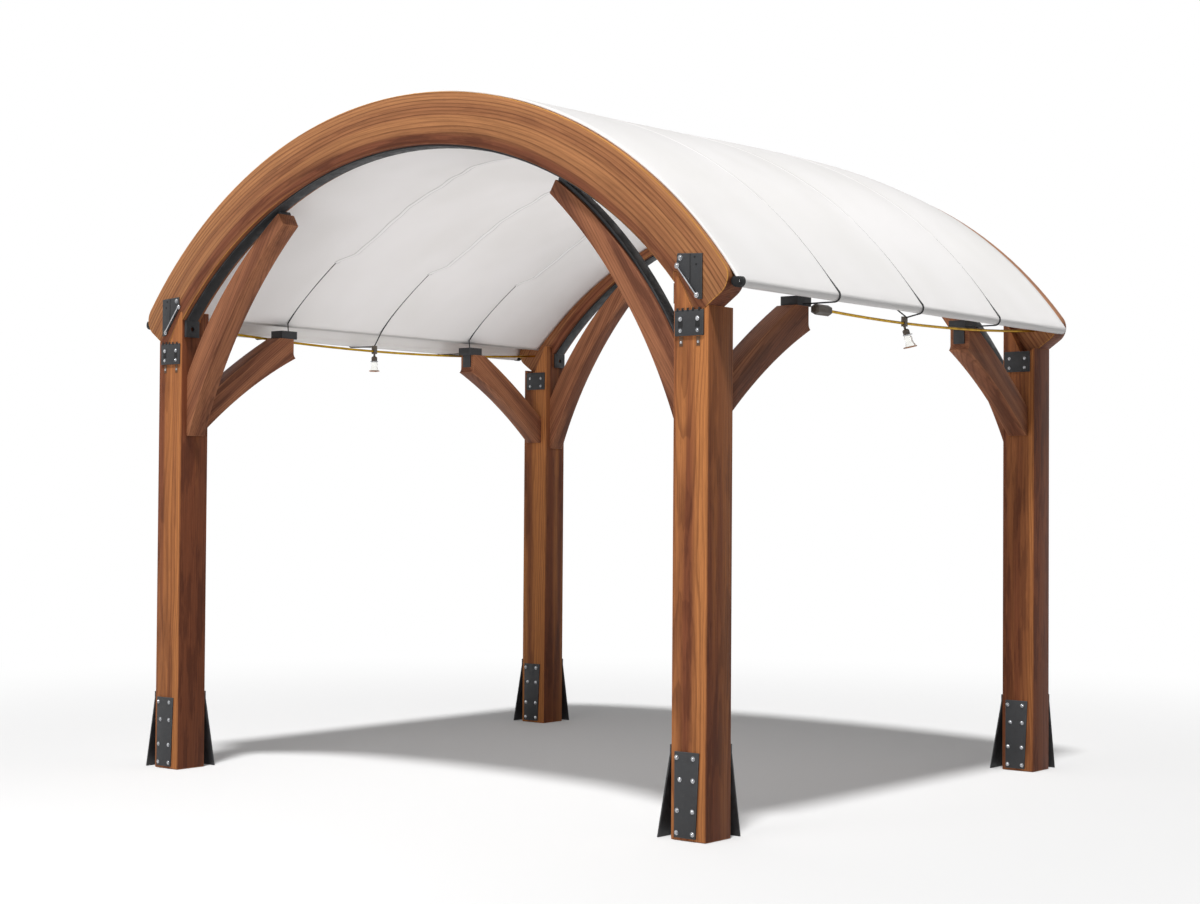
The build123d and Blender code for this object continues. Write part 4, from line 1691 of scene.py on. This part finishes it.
@dataclass
class Vault(Weaver):
    """Outer cloth of the vault in one sheet, with rolled hems, hoop sleeves and capped corners."""

    layout: Layout
    palette: Palette
    thickness: float = 0.0018
    sleeve_rise: float = 0.0026
    sleeve_half: float = 0.0075
    sleeve_end: float = 0.735
    sleeve_fade: float = 0.03
    # Band in front of each hoop, where its sleeve is, painted grey as shade beside the sleeve ridge.
    seam: tuple[float, float] = (0.0034, 0.0068)
    press: float = 0.004
    press_reach: float = 0.12
    wrinkle: float = 0.0016
    wrinkle_rate: Point = (6.5, 3.1, 4.2)
    roll_wrinkle: float = 0.0012
    edge_turn: float = 0.0085
    back_inset: float = 0.06
    back_reach: float = 0.4
    cap_length: float = 0.036
    arc_steps: int = 120
    roll_steps: int = 22
    roll_turn: float = math.radians(332)

    @property
    def first_y(self) -> float:
        """Place of the cloth's front edge."""
        return self.layout.axis_y - self.layout.vault_y

    @property
    def last_y(self) -> float:
        """Place of the cloth's back edge, which leaves a strip of the back arch bare."""
        return self.layout.axis_y + self.layout.vault_y - self.back_inset

    def packed_y(self, y: float) -> float:
        """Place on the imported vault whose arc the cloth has, as its back edge is drawn in.

        Args:
            y: place along the cloth.

        Returns:
            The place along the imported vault.
        """
        step = max(0.0, 1 - (self.last_y - y) / self.back_reach)
        return y + self.back_inset * step**2

    def lift(self, share: float, y: float) -> float:
        """Small rise of the cloth's outer face over its plain arc.

        Args:
            share: place across the vault, -1 and 1 at the hems.
            y: place along the vault.

        Returns:
            The rise, along the radius.
        """
        fade = math.cos(min(1.0, abs(share)) * math.pi / 2) ** 0.5
        pressed = sum(math.exp(-(((y - hoop) / self.press_reach) ** 2)) for hoop in self.layout.hoops)
        across, along, seed = self.wrinkle_rate
        wave = self.wrinkle * noise.noise(Vector((share * across, y * along, seed)))
        return -fade * (self.press * pressed + self.wrinkle - wave)

    def at(self, share: float, y: float, height: float = 0.0) -> Vector:
        """Point over the vault.

        Args:
            share: place across the vault, -1 and 1 at the hems.
            y: place along the vault.
            height: height over the cloth's outer face.

        Returns:
            The point.
        """
        center, radius, reach = self.layout.cloth_arc(self.packed_y(y))
        angle = share * reach
        radius += self.lift(share, y) + height
        return Vector((radius * math.sin(angle), y, center + radius * math.cos(angle)))

    def sleeve(self, share: float, y: float) -> float:
        """Height of the sleeves that cover the hoop cords.

        Args:
            share: place across the vault.
            y: place along the vault.

        Returns:
            The height over the cloth.
        """
        shown = min(1.0, max(0.0, (self.sleeve_end - abs(share)) / self.sleeve_fade + 0.5))
        ridge = sum(math.exp(-(((y - hoop) / self.sleeve_half) ** 4)) for hoop in self.layout.hoops)
        return self.sleeve_rise * shown * ridge

    def stations(self) -> list[tuple[float, float]]:
        """Places along the vault where the cloth is worked out, closer at the hoops and edges.

        Returns:
            Each place, with how far the cloth is turned down there.
        """
        layout = self.layout
        first, last = self.first_y, self.last_y
        even_steps, close_steps, close = 60, 6, 0.0034
        places = [first + (last - first) * step / even_steps for step in range(1, even_steps)]
        clear = close * (close_steps + 1)
        places = [y for y in places if all(abs(y - hoop) > clear for hoop in layout.hoops)]
        for hoop in layout.hoops:
            places.extend(hoop + step * close for step in range(-close_steps, close_steps + 1))
        turned = [(y, 0.0) for y in sorted(places)]
        turn_steps = 5
        for step in range(turn_steps):
            turn = math.radians(90) * step / (turn_steps - 1)
            inward, down = self.edge_turn * (1 - math.cos(turn)), self.edge_turn * (1 - math.sin(turn))
            turned.insert(step, (first + inward / 2 + FLAT_GAP, down))
            turned.insert(len(turned) - step, (last - inward / 2 - FLAT_GAP, down))
        return turned

    def section(self, y: float, down: float) -> list[Vector]:
        """The cloth at one place, from roll to roll.

        Args:
            y: place along the vault.
            down: how far the cloth is turned down there.

        Returns:
            The points across the cloth.
        """
        layout = self.layout
        _, _, limit = layout.cloth_arc(self.packed_y(y))
        points = []
        for step in range(self.arc_steps + 1):
            share = 2 * step / self.arc_steps - 1
            points.append(self.at(share, y, self.sleeve(share, y) - down))
        rolls = []
        for step in range(1, self.roll_steps + 1):
            turn = limit + self.roll_turn * step / self.roll_steps
            radius = (layout.hem_radius - down / 2) * (1 - 0.1 * step / self.roll_steps)
            radius += self.roll_wrinkle * noise.noise(Vector((turn, y * 6.0, 1.7)))
            rolls.append(
                Vector((layout.hem_x + radius * math.sin(turn), y, layout.hem_z + radius * math.cos(turn)))
            )
        left = [Vector((-point.x, point.y, point.z)) for point in reversed(rolls)]
        return [*left, *points, *rolls]

    def hem_cap(self, end: End, hand: Hand) -> bpy.types.Object:
        """Make the black webbing cap that is pulled over a hem's end.

        Args:
            end: which arch.
            hand: which side.

        Returns:
            The cap.
        """
        radius, length = self.layout.hem_radius + self.thickness, self.cap_length
        profile = (
            (radius * 0.9, 0.0), (radius, 0.002), (radius, length - 0.007), (radius * 0.93, length - 0.003),
            (radius * 0.7, length - 0.0005), (radius * 0.3, length),
        )
        cap = lathe(f"{end.value}_{hand.value}_hem_cap", profile, 20)
        edge = self.last_y if end is End.BACK else self.first_y
        place = Vector((hand.sign * self.layout.hem_x, edge - end.sign * (length - 0.002), self.layout.hem_z))
        cap.data.transform(facing(place, Vector((0, end.sign, 0))))
        cap.data.materials.append(self.palette.webbing_and_hole_shade)
        return cap

    def build(self) -> None:
        """Make the outer cloth and the caps of its hems."""
        rows = [self.section(y, down) for y, down in self.stations()]
        sheet = self.cloth("canopy_canvas", rows, self.palette.canvas, self.thickness)
        sheet.data.materials.append(self.palette.stitch)
        # Painted shade: a narrow grey band just in front of each sleeve ridge, as far out as the sleeves
        # reach.
        seam_first, seam_last = self.seam
        for polygon in sheet.data.polygons:
            behind = min((polygon.center.y - hoop for hoop in self.layout.hoops), key=abs)
            _, _, limit = self.layout.cloth_arc(polygon.center.y)
            sleeve_x = self.layout.hem_x * math.sin(limit * self.sleeve_end) / math.sin(limit)
            if seam_first < -behind < seam_last and abs(polygon.center.x) < sleeve_x:
                polygon.material_index = 1
        hand_over(sheet, Slot.CANVAS, "canopy", "left_hem", "right_hem")
        capped = ((End.FRONT, Hand.LEFT), (End.FRONT, Hand.RIGHT), (End.BACK, Hand.LEFT))
        caps = [hand_over(self.hem_cap(end, hand), None) for end, hand in capped]
        cut_width = self.width_of(rows[len(rows) // 2])


@dataclass
class Lining(Weaver):
    """Inner cloth between the arches, with sleeves over its stays and hemmed edges."""

    layout: Layout
    palette: Palette
    thickness: float = 0.0014
    sleeve_half: float = 0.0135
    sleeve_drop: float = 0.0032
    sleeve_gap: float = 0.0008
    sleeve_thickness: float = 0.001
    sleeve_share: float = 0.735
    sleeve_waver: float = 0.25
    sleeve_strips: Sequence[float] = (-1.0, -0.8, -0.55, -0.28, 0.0, 0.28, 0.55, 0.8, 1.0)
    # Strips at each edge of a lining sleeve in the grey finish: stitching with painted shade.
    stitched_strips: int = 2
    belly: float = 0.011
    belly_power: float = 0.8
    edge_fade: float = 0.12
    edge_fold: float = 0.016
    fold_rise: float = 0.0035
    fold_gap: float = 0.002
    band_share: float = 0.99
    band_wrinkle: float = 0.0012
    knee_inset: float = 0.026
    hem_shares: tuple[float, float] = (0.4, 0.92)
    arc_steps: int = 130
    along_steps: int = 96
    first_y: float = field(init=False)
    last_y: float = field(init=False)
    radius: float = field(init=False)
    center_z: float = field(init=False)
    reach: float = field(init=False)

    def __post_init__(self) -> None:
        """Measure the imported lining."""
        low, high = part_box("lining")
        edge = max(places_of("lining"), key=lambda place: place.x)
        drop = high.z - edge.z
        self.first_y, self.last_y = low.y, high.y
        self.radius = (edge.x**2 + drop**2) / (2 * drop)
        self.center_z = high.z - self.radius
        self.reach = math.asin(edge.x / self.radius)

    def sway(self, share: float) -> float:
        """How far a seam lies behind its hoop.

        Args:
            share: place across the lining, -1 and 1 at its edges.

        Returns:
            The distance.
        """
        side = abs(share)
        for (inner, before), (outer, after) in zip(SEAM_COURSE, SEAM_COURSE[1:]):
            if side <= outer:
                step = (side - inner) / (outer - inner)
                return before + (after - before) * step * step * (3 - 2 * step)
        return SEAM_COURSE[-1][1]

    def sag(self, share: float, y: float) -> float:
        """How far the cloth hangs below its plain arc.

        Args:
            share: place across the lining.
            y: place along it.

        Returns:
            The drop, along the radius.
        """
        seams = [hoop + self.sway(share) for hoop in self.layout.hoops]
        lines = sorted([self.first_y, *seams, self.last_y])
        fade = min(1.0, (1 - abs(share)) / self.edge_fade)
        for before, after in zip(lines, lines[1:]):
            if before <= y <= after:
                part = (y - before) / (after - before)
                return fade * self.belly * math.sin(math.pi * part) ** self.belly_power
        return 0.0

    def at(self, share: float, y: float, height: float = 0.0) -> Vector:
        """Point over the lining's underside.

        Args:
            share: place across the lining, -1 and 1 at its edges.
            y: place along it.
            height: height over its underside.

        Returns:
            The point.
        """
        radius = self.radius - self.thickness + height - self.sag(share, y)
        angle = share * self.reach
        return Vector((radius * math.sin(angle), y, self.center_z + radius * math.cos(angle)))

    def section(self, y: float) -> list[Vector]:
        """The lining at one place, with a fold back at each edge.

        Args:
            y: place along it.

        Returns:
            The points across the cloth.
        """
        fold_steps = 5
        points = [self.at(2 * step / self.arc_steps - 1, y) for step in range(self.arc_steps + 1)]
        folds = []
        for step in range(1, fold_steps + 1):
            back = self.edge_fold / self.radius / self.reach * step / fold_steps
            rise = self.fold_rise * math.sin(math.pi * (0.5 + step / fold_steps / 2))
            folds.append(self.at(1 - back, y, rise + self.fold_gap))
        left = [Vector((-point.x, point.y, point.z)) for point in reversed(folds)]
        return [*left, *points, *folds]

    def sleeve(self, index: int, hoop: float) -> bpy.types.Object:
        """Make the narrow sleeve that hides the upper part of a stay.

        Args:
            index: which sleeve it is.
            hoop: place of its hoop.

        Returns:
            The sleeve, with stitched edges that are greyed as painted shade.
        """
        steps = 150
        rows = []
        for strip in self.sleeve_strips:
            row = []
            drop = self.sleeve_drop * math.cos(strip * math.pi / 2) + self.sleeve_gap
            for step in range(steps + 1):
                share = self.sleeve_share * (2 * step / steps - 1)
                waver = 1 + self.sleeve_waver * noise.noise(Vector((share * 9, index, 7.0)))
                place = hoop + self.sway(share) + self.sleeve_half * strip * waver
                row.append(self.at(share, place, -drop))
            rows.append(row)
        sleeve = self.cloth(f"lining_sleeve_{HOOPS[index]}", rows, self.palette.canvas, self.sleeve_thickness)
        sleeve.data.materials.append(self.palette.stitch)
        count, width = len(rows), steps + 1
        # Stitching and painted shade: the outer strips on both edges take the grey finish.
        for polygon in sleeve.data.polygons:
            strip_rows = {vertex % (count * width) // width for vertex in polygon.vertices}
            if max(strip_rows) <= self.stitched_strips or min(strip_rows) >= count - 1 - self.stitched_strips:
                polygon.material_index = 1
        return sleeve

    def band(self, hand: Hand) -> bpy.types.Object:
        """Make the plain band of cloth from the lining's edge down to a hem.

        Args:
            hand: which eave.

        Returns:
            The band.
        """
        layout, steps, strips = self.layout, 48, 4
        under = layout.hem_radius + self.thickness
        inner, below = self.hem_shares
        first, last = self.first_y + self.thickness, self.last_y - self.thickness
        rows = []
        for step in range(steps + 1):
            y = first + (last - first) * step / steps
            upper = self.at(self.band_share, y, -self.thickness)
            knee = Vector((layout.hem_x - self.knee_inset, y, upper.z - self.thickness))
            lower = Vector((layout.hem_x - inner * under, y, layout.hem_z - below * under))
            course = [upper.lerp(knee, strip / strips) for strip in range(strips)]
            course.extend(knee.lerp(lower, strip / strips) for strip in range(strips + 1))
            row = []
            for strip, place in enumerate(course):
                slack = self.band_wrinkle * noise.noise(Vector((y * 5.0, strip * 0.7, 3.3)))
                row.append(Vector((hand.sign * place.x, y, place.z + slack)))
            rows.append(row)
        return self.cloth(f"{hand.value}_lining_band", rows, self.palette.canvas, self.thickness)

    def build(self) -> None:
        """Make the lining, its sleeves and its edge bands."""
        span = self.last_y - self.first_y
        gap = self.thickness / 2 + FLAT_GAP
        stations = [self.first_y + gap + (span - 2 * gap) * step / self.along_steps
                    for step in range(self.along_steps + 1)]
        rows = [self.section(y) for y in stations]
        sheet = self.cloth("lining_canvas", rows, self.palette.lining, self.thickness)
        hand_over(sheet, Slot.CANVAS, "lining")
        parts = [
            hand_over(self.sleeve(index, hoop), Slot.CANVAS) for index, hoop in enumerate(self.layout.hoops)
        ]
        parts.extend(hand_over(self.band(hand), Slot.CANVAS) for hand in Hand)
        self.width_of(rows[0])


@dataclass
class Cords:
    """Taut hoop cords over the vault, and taut stays under the lining."""

    layout: Layout
    palette: Palette
    vault: Vault
    lining: Lining
    radius: float = 0.0031
    free_share: float = 0.985
    free_rise: float = 1.4
    free_power: int = 9
    climb: float = 0.11
    sunk: float = 0.66
    slack: float = 0.0024
    stay_overlap: float = 0.03
    stay_size: float = 0.9
    lamp_drop: float = 0.021
    hem_gap: float = 0.001

    def rise(self, share: float, sleeve_share: float) -> float:
        """How far a cord's axis stands off the cloth, which it presses in towards its sleeve.

        Args:
            share: place from the crown to the eave.
            sleeve_share: where the sleeve begins.

        Returns:
            The height of its axis, in radii.
        """
        step = min(1.0, max(0.0, (share - sleeve_share) / (self.free_share - sleeve_share)))
        return self.free_rise * step**self.free_power + self.climb * step - self.sunk

    def build(self) -> None:
        """Make every hoop and its stays."""
        for name, hoop in zip(HOOPS, self.layout.hoops):
            self.hoop(f"{name}_hoop_cord", hoop)
            for hand in Hand:
                self.stay(f"{name}_{hand.value}_stay", name, hoop, hand)

    def hoop(self, node: str, y: float) -> None:
        """Make a hoop cord from eave to eave.

        Args:
            node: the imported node.
            y: its place along the vault.
        """
        layout = self.layout
        wrap = layout.hem_radius + self.radius + self.hem_gap
        _, _, limit = layout.cloth_arc(y)
        steps, arc_steps = 18, 110
        halves = {}
        for hand in Hand:
            side = [p for p in places_of(node) if p.x * hand.sign > 0 and p.z < layout.hem_z]
            reach = min(abs(place.x) for place in side)
            near = [place.y for place in side if abs(place.x) < reach + 2 * self.radius]
            half = [Vector((hand.sign * reach, sum(near) / len(near), layout.hem_z - wrap))]
            for step in range(steps + 1):
                turn = math.pi - (math.pi - limit) * step / steps
                x = hand.sign * (layout.hem_x + wrap * math.sin(turn))
                half.append(Vector((x, y, layout.hem_z + wrap * math.cos(turn))))
            halves[hand] = half
        over = []
        for step in range(1, arc_steps):
            share = 1 - 2 * step / arc_steps
            over.append(self.vault.at(share, y, self.radius * self.rise(abs(share), self.vault.sleeve_end)))
        points = [*halves[Hand.RIGHT], *over, *reversed(halves[Hand.LEFT])]
        piece = tube(f"{node}_braided", points, self.radius)
        piece.data.materials.append(self.palette.cord)
        hand_over(piece, Slot.CORD, node)

    def stay(self, name: str, hoop_name: str, y: float, hand: Hand) -> None:
        """Make the taut stay from an eave's holder up into a sleeve of the lining.

        Args:
            name: the piece's name.
            hoop_name: which hoop it belongs to.
            y: the hoop's place along the vault.
            hand: which eave.
        """
        if hoop_name == "middle":
            low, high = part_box(f"{hand.value}_lamp_hanger")
            level = self.layout.hem_z - self.lamp_drop
            holder = Vector(((low.x + high.x) / 2, (low.y + high.y) / 2, level))
        else:
            low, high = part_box(f"{hoop_name}_{hand.value}_eave_bracket")
            holder = Vector(((low.x + high.x) / 2, y + self.lining.sway(1.0), high.z - self.radius))
        steps, first, last = 24, self.free_share, self.lining.sleeve_share - self.stay_overlap
        route = [holder]
        for step in range(steps + 1):
            share = first + (last - first) * step / steps
            place = y + self.lining.sway(share)
            drop = self.radius * self.rise(share, last) + self.slack
            route.append(self.lining.at(hand.sign * share, place, -drop))
        piece = tube(name, route, self.radius * self.stay_size)
        piece.data.materials.append(self.palette.cord)
        hand_over(piece, Slot.CORD)


@dataclass
class Fittings:
    """Brass rods, tensioner and lamps."""

    palette: Palette
    rim: float = 0.0028

    def build(self) -> None:
        """Dress the rods and lamps."""
        for hand in Hand:
            self.finish_node(f"{hand.value}_rod", self.palette.brass)
            self.finish_node(f"{hand.value}_lamp_hanger", self.palette.bronze)
            self.finish_node(f"{hand.value}_lamp_glass", self.palette.glass)
            hand_over(self.lamp_rims(hand), None)
        self.finish_node("rod_tensioner", self.palette.bronze)

    def lamp_rims(self, hand: Hand) -> bpy.types.Object:
        """Model the metal rings round the neck and the mouth of a lamp's glass.

        Args:
            hand: which eave the lamp hangs from.

        Returns:
            The rings.
        """
        places = sorted(places_of(f"{hand.value}_lamp_glass"), key=lambda place: place.z)
        half = len(places) // 2
        lower, upper = (sum(part, Vector()) / len(part) for part in (places[:half], places[half:]))
        axis = (lower - upper).normalized()
        along = [(place - upper).dot(axis) for place in places]
        rings = []
        for mouth, finish in ((True, self.palette.lamp_rim), (False, self.palette.zinc)):
            level = max(along) - self.rim if mouth else min(along) + self.rim
            near = [place for place, step in zip(places, along) if abs(step - level) < 4 * self.rim]
            reach = max((place - upper - axis * (place - upper).dot(axis)).length for place in near)
            pick_none()
            bpy.ops.mesh.primitive_torus_add(
                major_radius=reach, minor_radius=self.rim, major_segments=24, minor_segments=8
            )
            ring = bpy.context.object
            ring.data.transform(facing(upper + axis * level, axis))
            ring.data.materials.append(finish)
            smooth(ring)
            rings.append(ring)
        return join(f"{hand.value}_lamp_rims", rings)

    @staticmethod
    def finish_node(node: str, finish: bpy.types.Material) -> None:
        """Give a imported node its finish.

        Args:
            node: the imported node.
            finish: its material.
        """
        shown = frame["nodes"][node]
        shown.data.materials.clear()
        shown.data.materials.append(finish)
        LOG.info("%s: packed shape, finish %s", node, finish.name)


@dataclass
class Studio:
    """Camera, lights, floor and background."""

    ambient: float = 0.18
    sun: float = 3.15
    sun_lean: Point = (-0.175, 0.36, -1.0)
    sun_reach: float = 6.0
    sun_angle: float = math.radians(7)
    fill: float = 68.0
    fill_place: Point = (0.2, -5.2, 1.4)
    fill_aim: Point = (-0.2, 0.0, 1.2)
    fill_size: float = 3.2
    under: float = 12.0
    under_place: Point = (0.0, 0.0, 1.25)
    under_size: tuple[float, float] = (2.4, 1.8)
    under_spread: float = math.radians(175)
    floor_tone: float = 0.755
    floor_bounce: float = 0.42
    floor_size: float = 120.0
    floor_drop: float = 0.0005
    floor_fade: tuple[float, float] = (2.0, 6.5)
    floor_haze: float = 0.08

    def build(self) -> None:
        """Set up the studio."""
        self.camera()
        self.background()
        self.lights()
        self.floor()
        bpy.context.scene.view_settings.view_transform = "Standard"

    def camera(self) -> None:
        """Stand the camera where the photograph was taken."""
        data = bpy.data.cameras.new("camera")
        data.sensor_fit = "HORIZONTAL"
        data.sensor_width = SENSOR_WIDTH
        data.lens = FOCAL_PIXELS / IMAGE_WIDTH * SENSOR_WIDTH
        data.clip_end = 200.0
        camera = bpy.data.objects.new("camera", data)
        bpy.context.scene.collection.objects.link(camera)
        turn = Matrix.Rotation(CAMERA_AZIMUTH, 4, "Z")
        turn @= Matrix.Rotation(math.pi / 2 + CAMERA_PITCH, 4, "X")
        turn @= Matrix.Rotation(CAMERA_ROLL, 4, "Z")
        camera.matrix_world = Matrix.Translation(CAMERA_PLACE) @ turn
        bpy.context.scene.camera = camera

    @staticmethod
    def seen(graph: Graph) -> bpy.types.NodeSocket:
        """Say whether a ray comes from the camera, straight, mirrored or through glass.

        Args:
            graph: the graph of the floor's material or of the world.

        Returns:
            1 for such a ray and 0 for light that falls on the object.
        """
        path = graph.node("ShaderNodeLightPath")
        seen = graph.math("MAXIMUM", path.outputs["Is Camera Ray"], path.outputs["Is Glossy Ray"])
        return graph.math("MAXIMUM", seen, path.outputs["Is Transmission Ray"])

    def background(self) -> None:
        """White behind the object, with a plain ambient level on it."""
        world = bpy.data.worlds.new("studio")
        bpy.context.scene.world = world
        world.use_nodes = True
        graph = Graph(world.node_tree)
        graph.tree.nodes.clear()
        seen = self.seen(graph)
        plain = graph.node("ShaderNodeBackground")
        plain.inputs["Strength"].default_value = self.ambient
        white = graph.node("ShaderNodeBackground")
        for shader in (plain, white):
            shader.inputs["Color"].default_value = (1, 1, 1, 1)
        mixed = graph.node("ShaderNodeMixShader")
        graph.feed(mixed.inputs[0], seen)
        graph.feed(mixed.inputs[1], plain.outputs[0])
        graph.feed(mixed.inputs[2], white.outputs[0])
        graph.feed(graph.node("ShaderNodeOutputWorld").inputs["Surface"], mixed.outputs[0])

    def lamp(self, name: str, kind: str, energy: float, place: Point, aim: Point) -> bpy.types.Object:
        """Add a lamp.

        Args:
            name: the lamp's name.
            kind: SUN or AREA.
            energy: its strength.
            place: where it is.
            aim: what it points at.

        Returns:
            The lamp.
        """
        data = bpy.data.lights.new(name, kind)
        data.energy = energy
        lamp = bpy.data.objects.new(name, data)
        bpy.context.scene.collection.objects.link(lamp)
        toward = Vector(aim) - Vector(place)
        lamp.matrix_world = Matrix.Translation(place) @ toward.to_track_quat("-Z", "Y").to_matrix().to_4x4()
        return lamp

    def lights(self) -> None:
        """High key light, broad fill from the front, and a soft light upwards under the cloth."""
        high = -self.sun_reach * Vector(self.sun_lean)
        key = self.lamp("key", "SUN", self.sun, tuple(high), (0, 0, 0))
        key.data.angle = self.sun_angle
        fill = self.lamp("fill", "AREA", self.fill, self.fill_place, self.fill_aim)
        fill.data.shape = "DISK"
        fill.data.size = self.fill_size
        above = Vector(self.under_place) + Vector((0, 0, 1))
        under = self.lamp("under", "AREA", self.under, self.under_place, tuple(above))
        under.data.shape = "RECTANGLE"
        under.data.size, under.data.size_y = self.under_size
        under.data.spread = self.under_spread
        for lamp in (fill, under):
            lamp.visible_camera = False
            lamp.visible_glossy = False

    def floor(self) -> None:
        """Pale floor that fades into the white background."""
        pick_none()
        bpy.ops.mesh.primitive_plane_add(size=self.floor_size, location=(0, 0, -self.floor_drop))
        floor = bpy.context.object
        floor.name = "floor"
        material = bpy.data.materials.new("pale_floor")
        material.use_nodes = True
        graph = Graph(material.node_tree)
        shader = graph.tree.nodes["Principled BSDF"]
        seen = self.seen(graph)
        dull, pale = ((tone, tone, tone, 1.0) for tone in (self.floor_bounce, self.floor_tone))
        graph.feed(shader.inputs["Base Color"], graph.mix(seen, dull, pale))
        shader.inputs["Roughness"].default_value = 0.9
        shader.inputs["Specular IOR Level"].default_value = 0.1
        glow = graph.node("ShaderNodeEmission")
        x, y, _ = graph.apart(graph.node("ShaderNodeTexCoord").outputs["Object"])
        reach = graph.vector("LENGTH", graph.together(x, y, 0.0))
        far = graph.ease(reach, *self.floor_fade, self.floor_haze, 1.0)
        mixed = graph.node("ShaderNodeMixShader")
        graph.feed(mixed.inputs[0], graph.math("MULTIPLY", far, seen))
        graph.feed(mixed.inputs[1], shader.outputs[0])
        graph.feed(mixed.inputs[2], glow.outputs[0])
        graph.feed(graph.tree.nodes["Material Output"].inputs["Surface"], mixed.outputs[0])
        floor.data.materials.append(material)


def main() -> None:
    """Build the gazebo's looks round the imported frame."""
    logging.basicConfig(level=logging.INFO, format="%(message)s")
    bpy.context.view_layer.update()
    layout = Layout.from_frame()
    palette = Palette(layout)
    vault = Vault(layout, palette)
    lining = Lining(layout, palette)
    Studio().build()
    Timbers(layout, palette).build()
    Ironwork(layout, palette).build()
    vault.build()
    lining.build()
    Cords(layout, palette, vault, lining).build()
    Fittings(palette).build()


if __name__ == "__main__":
    main()
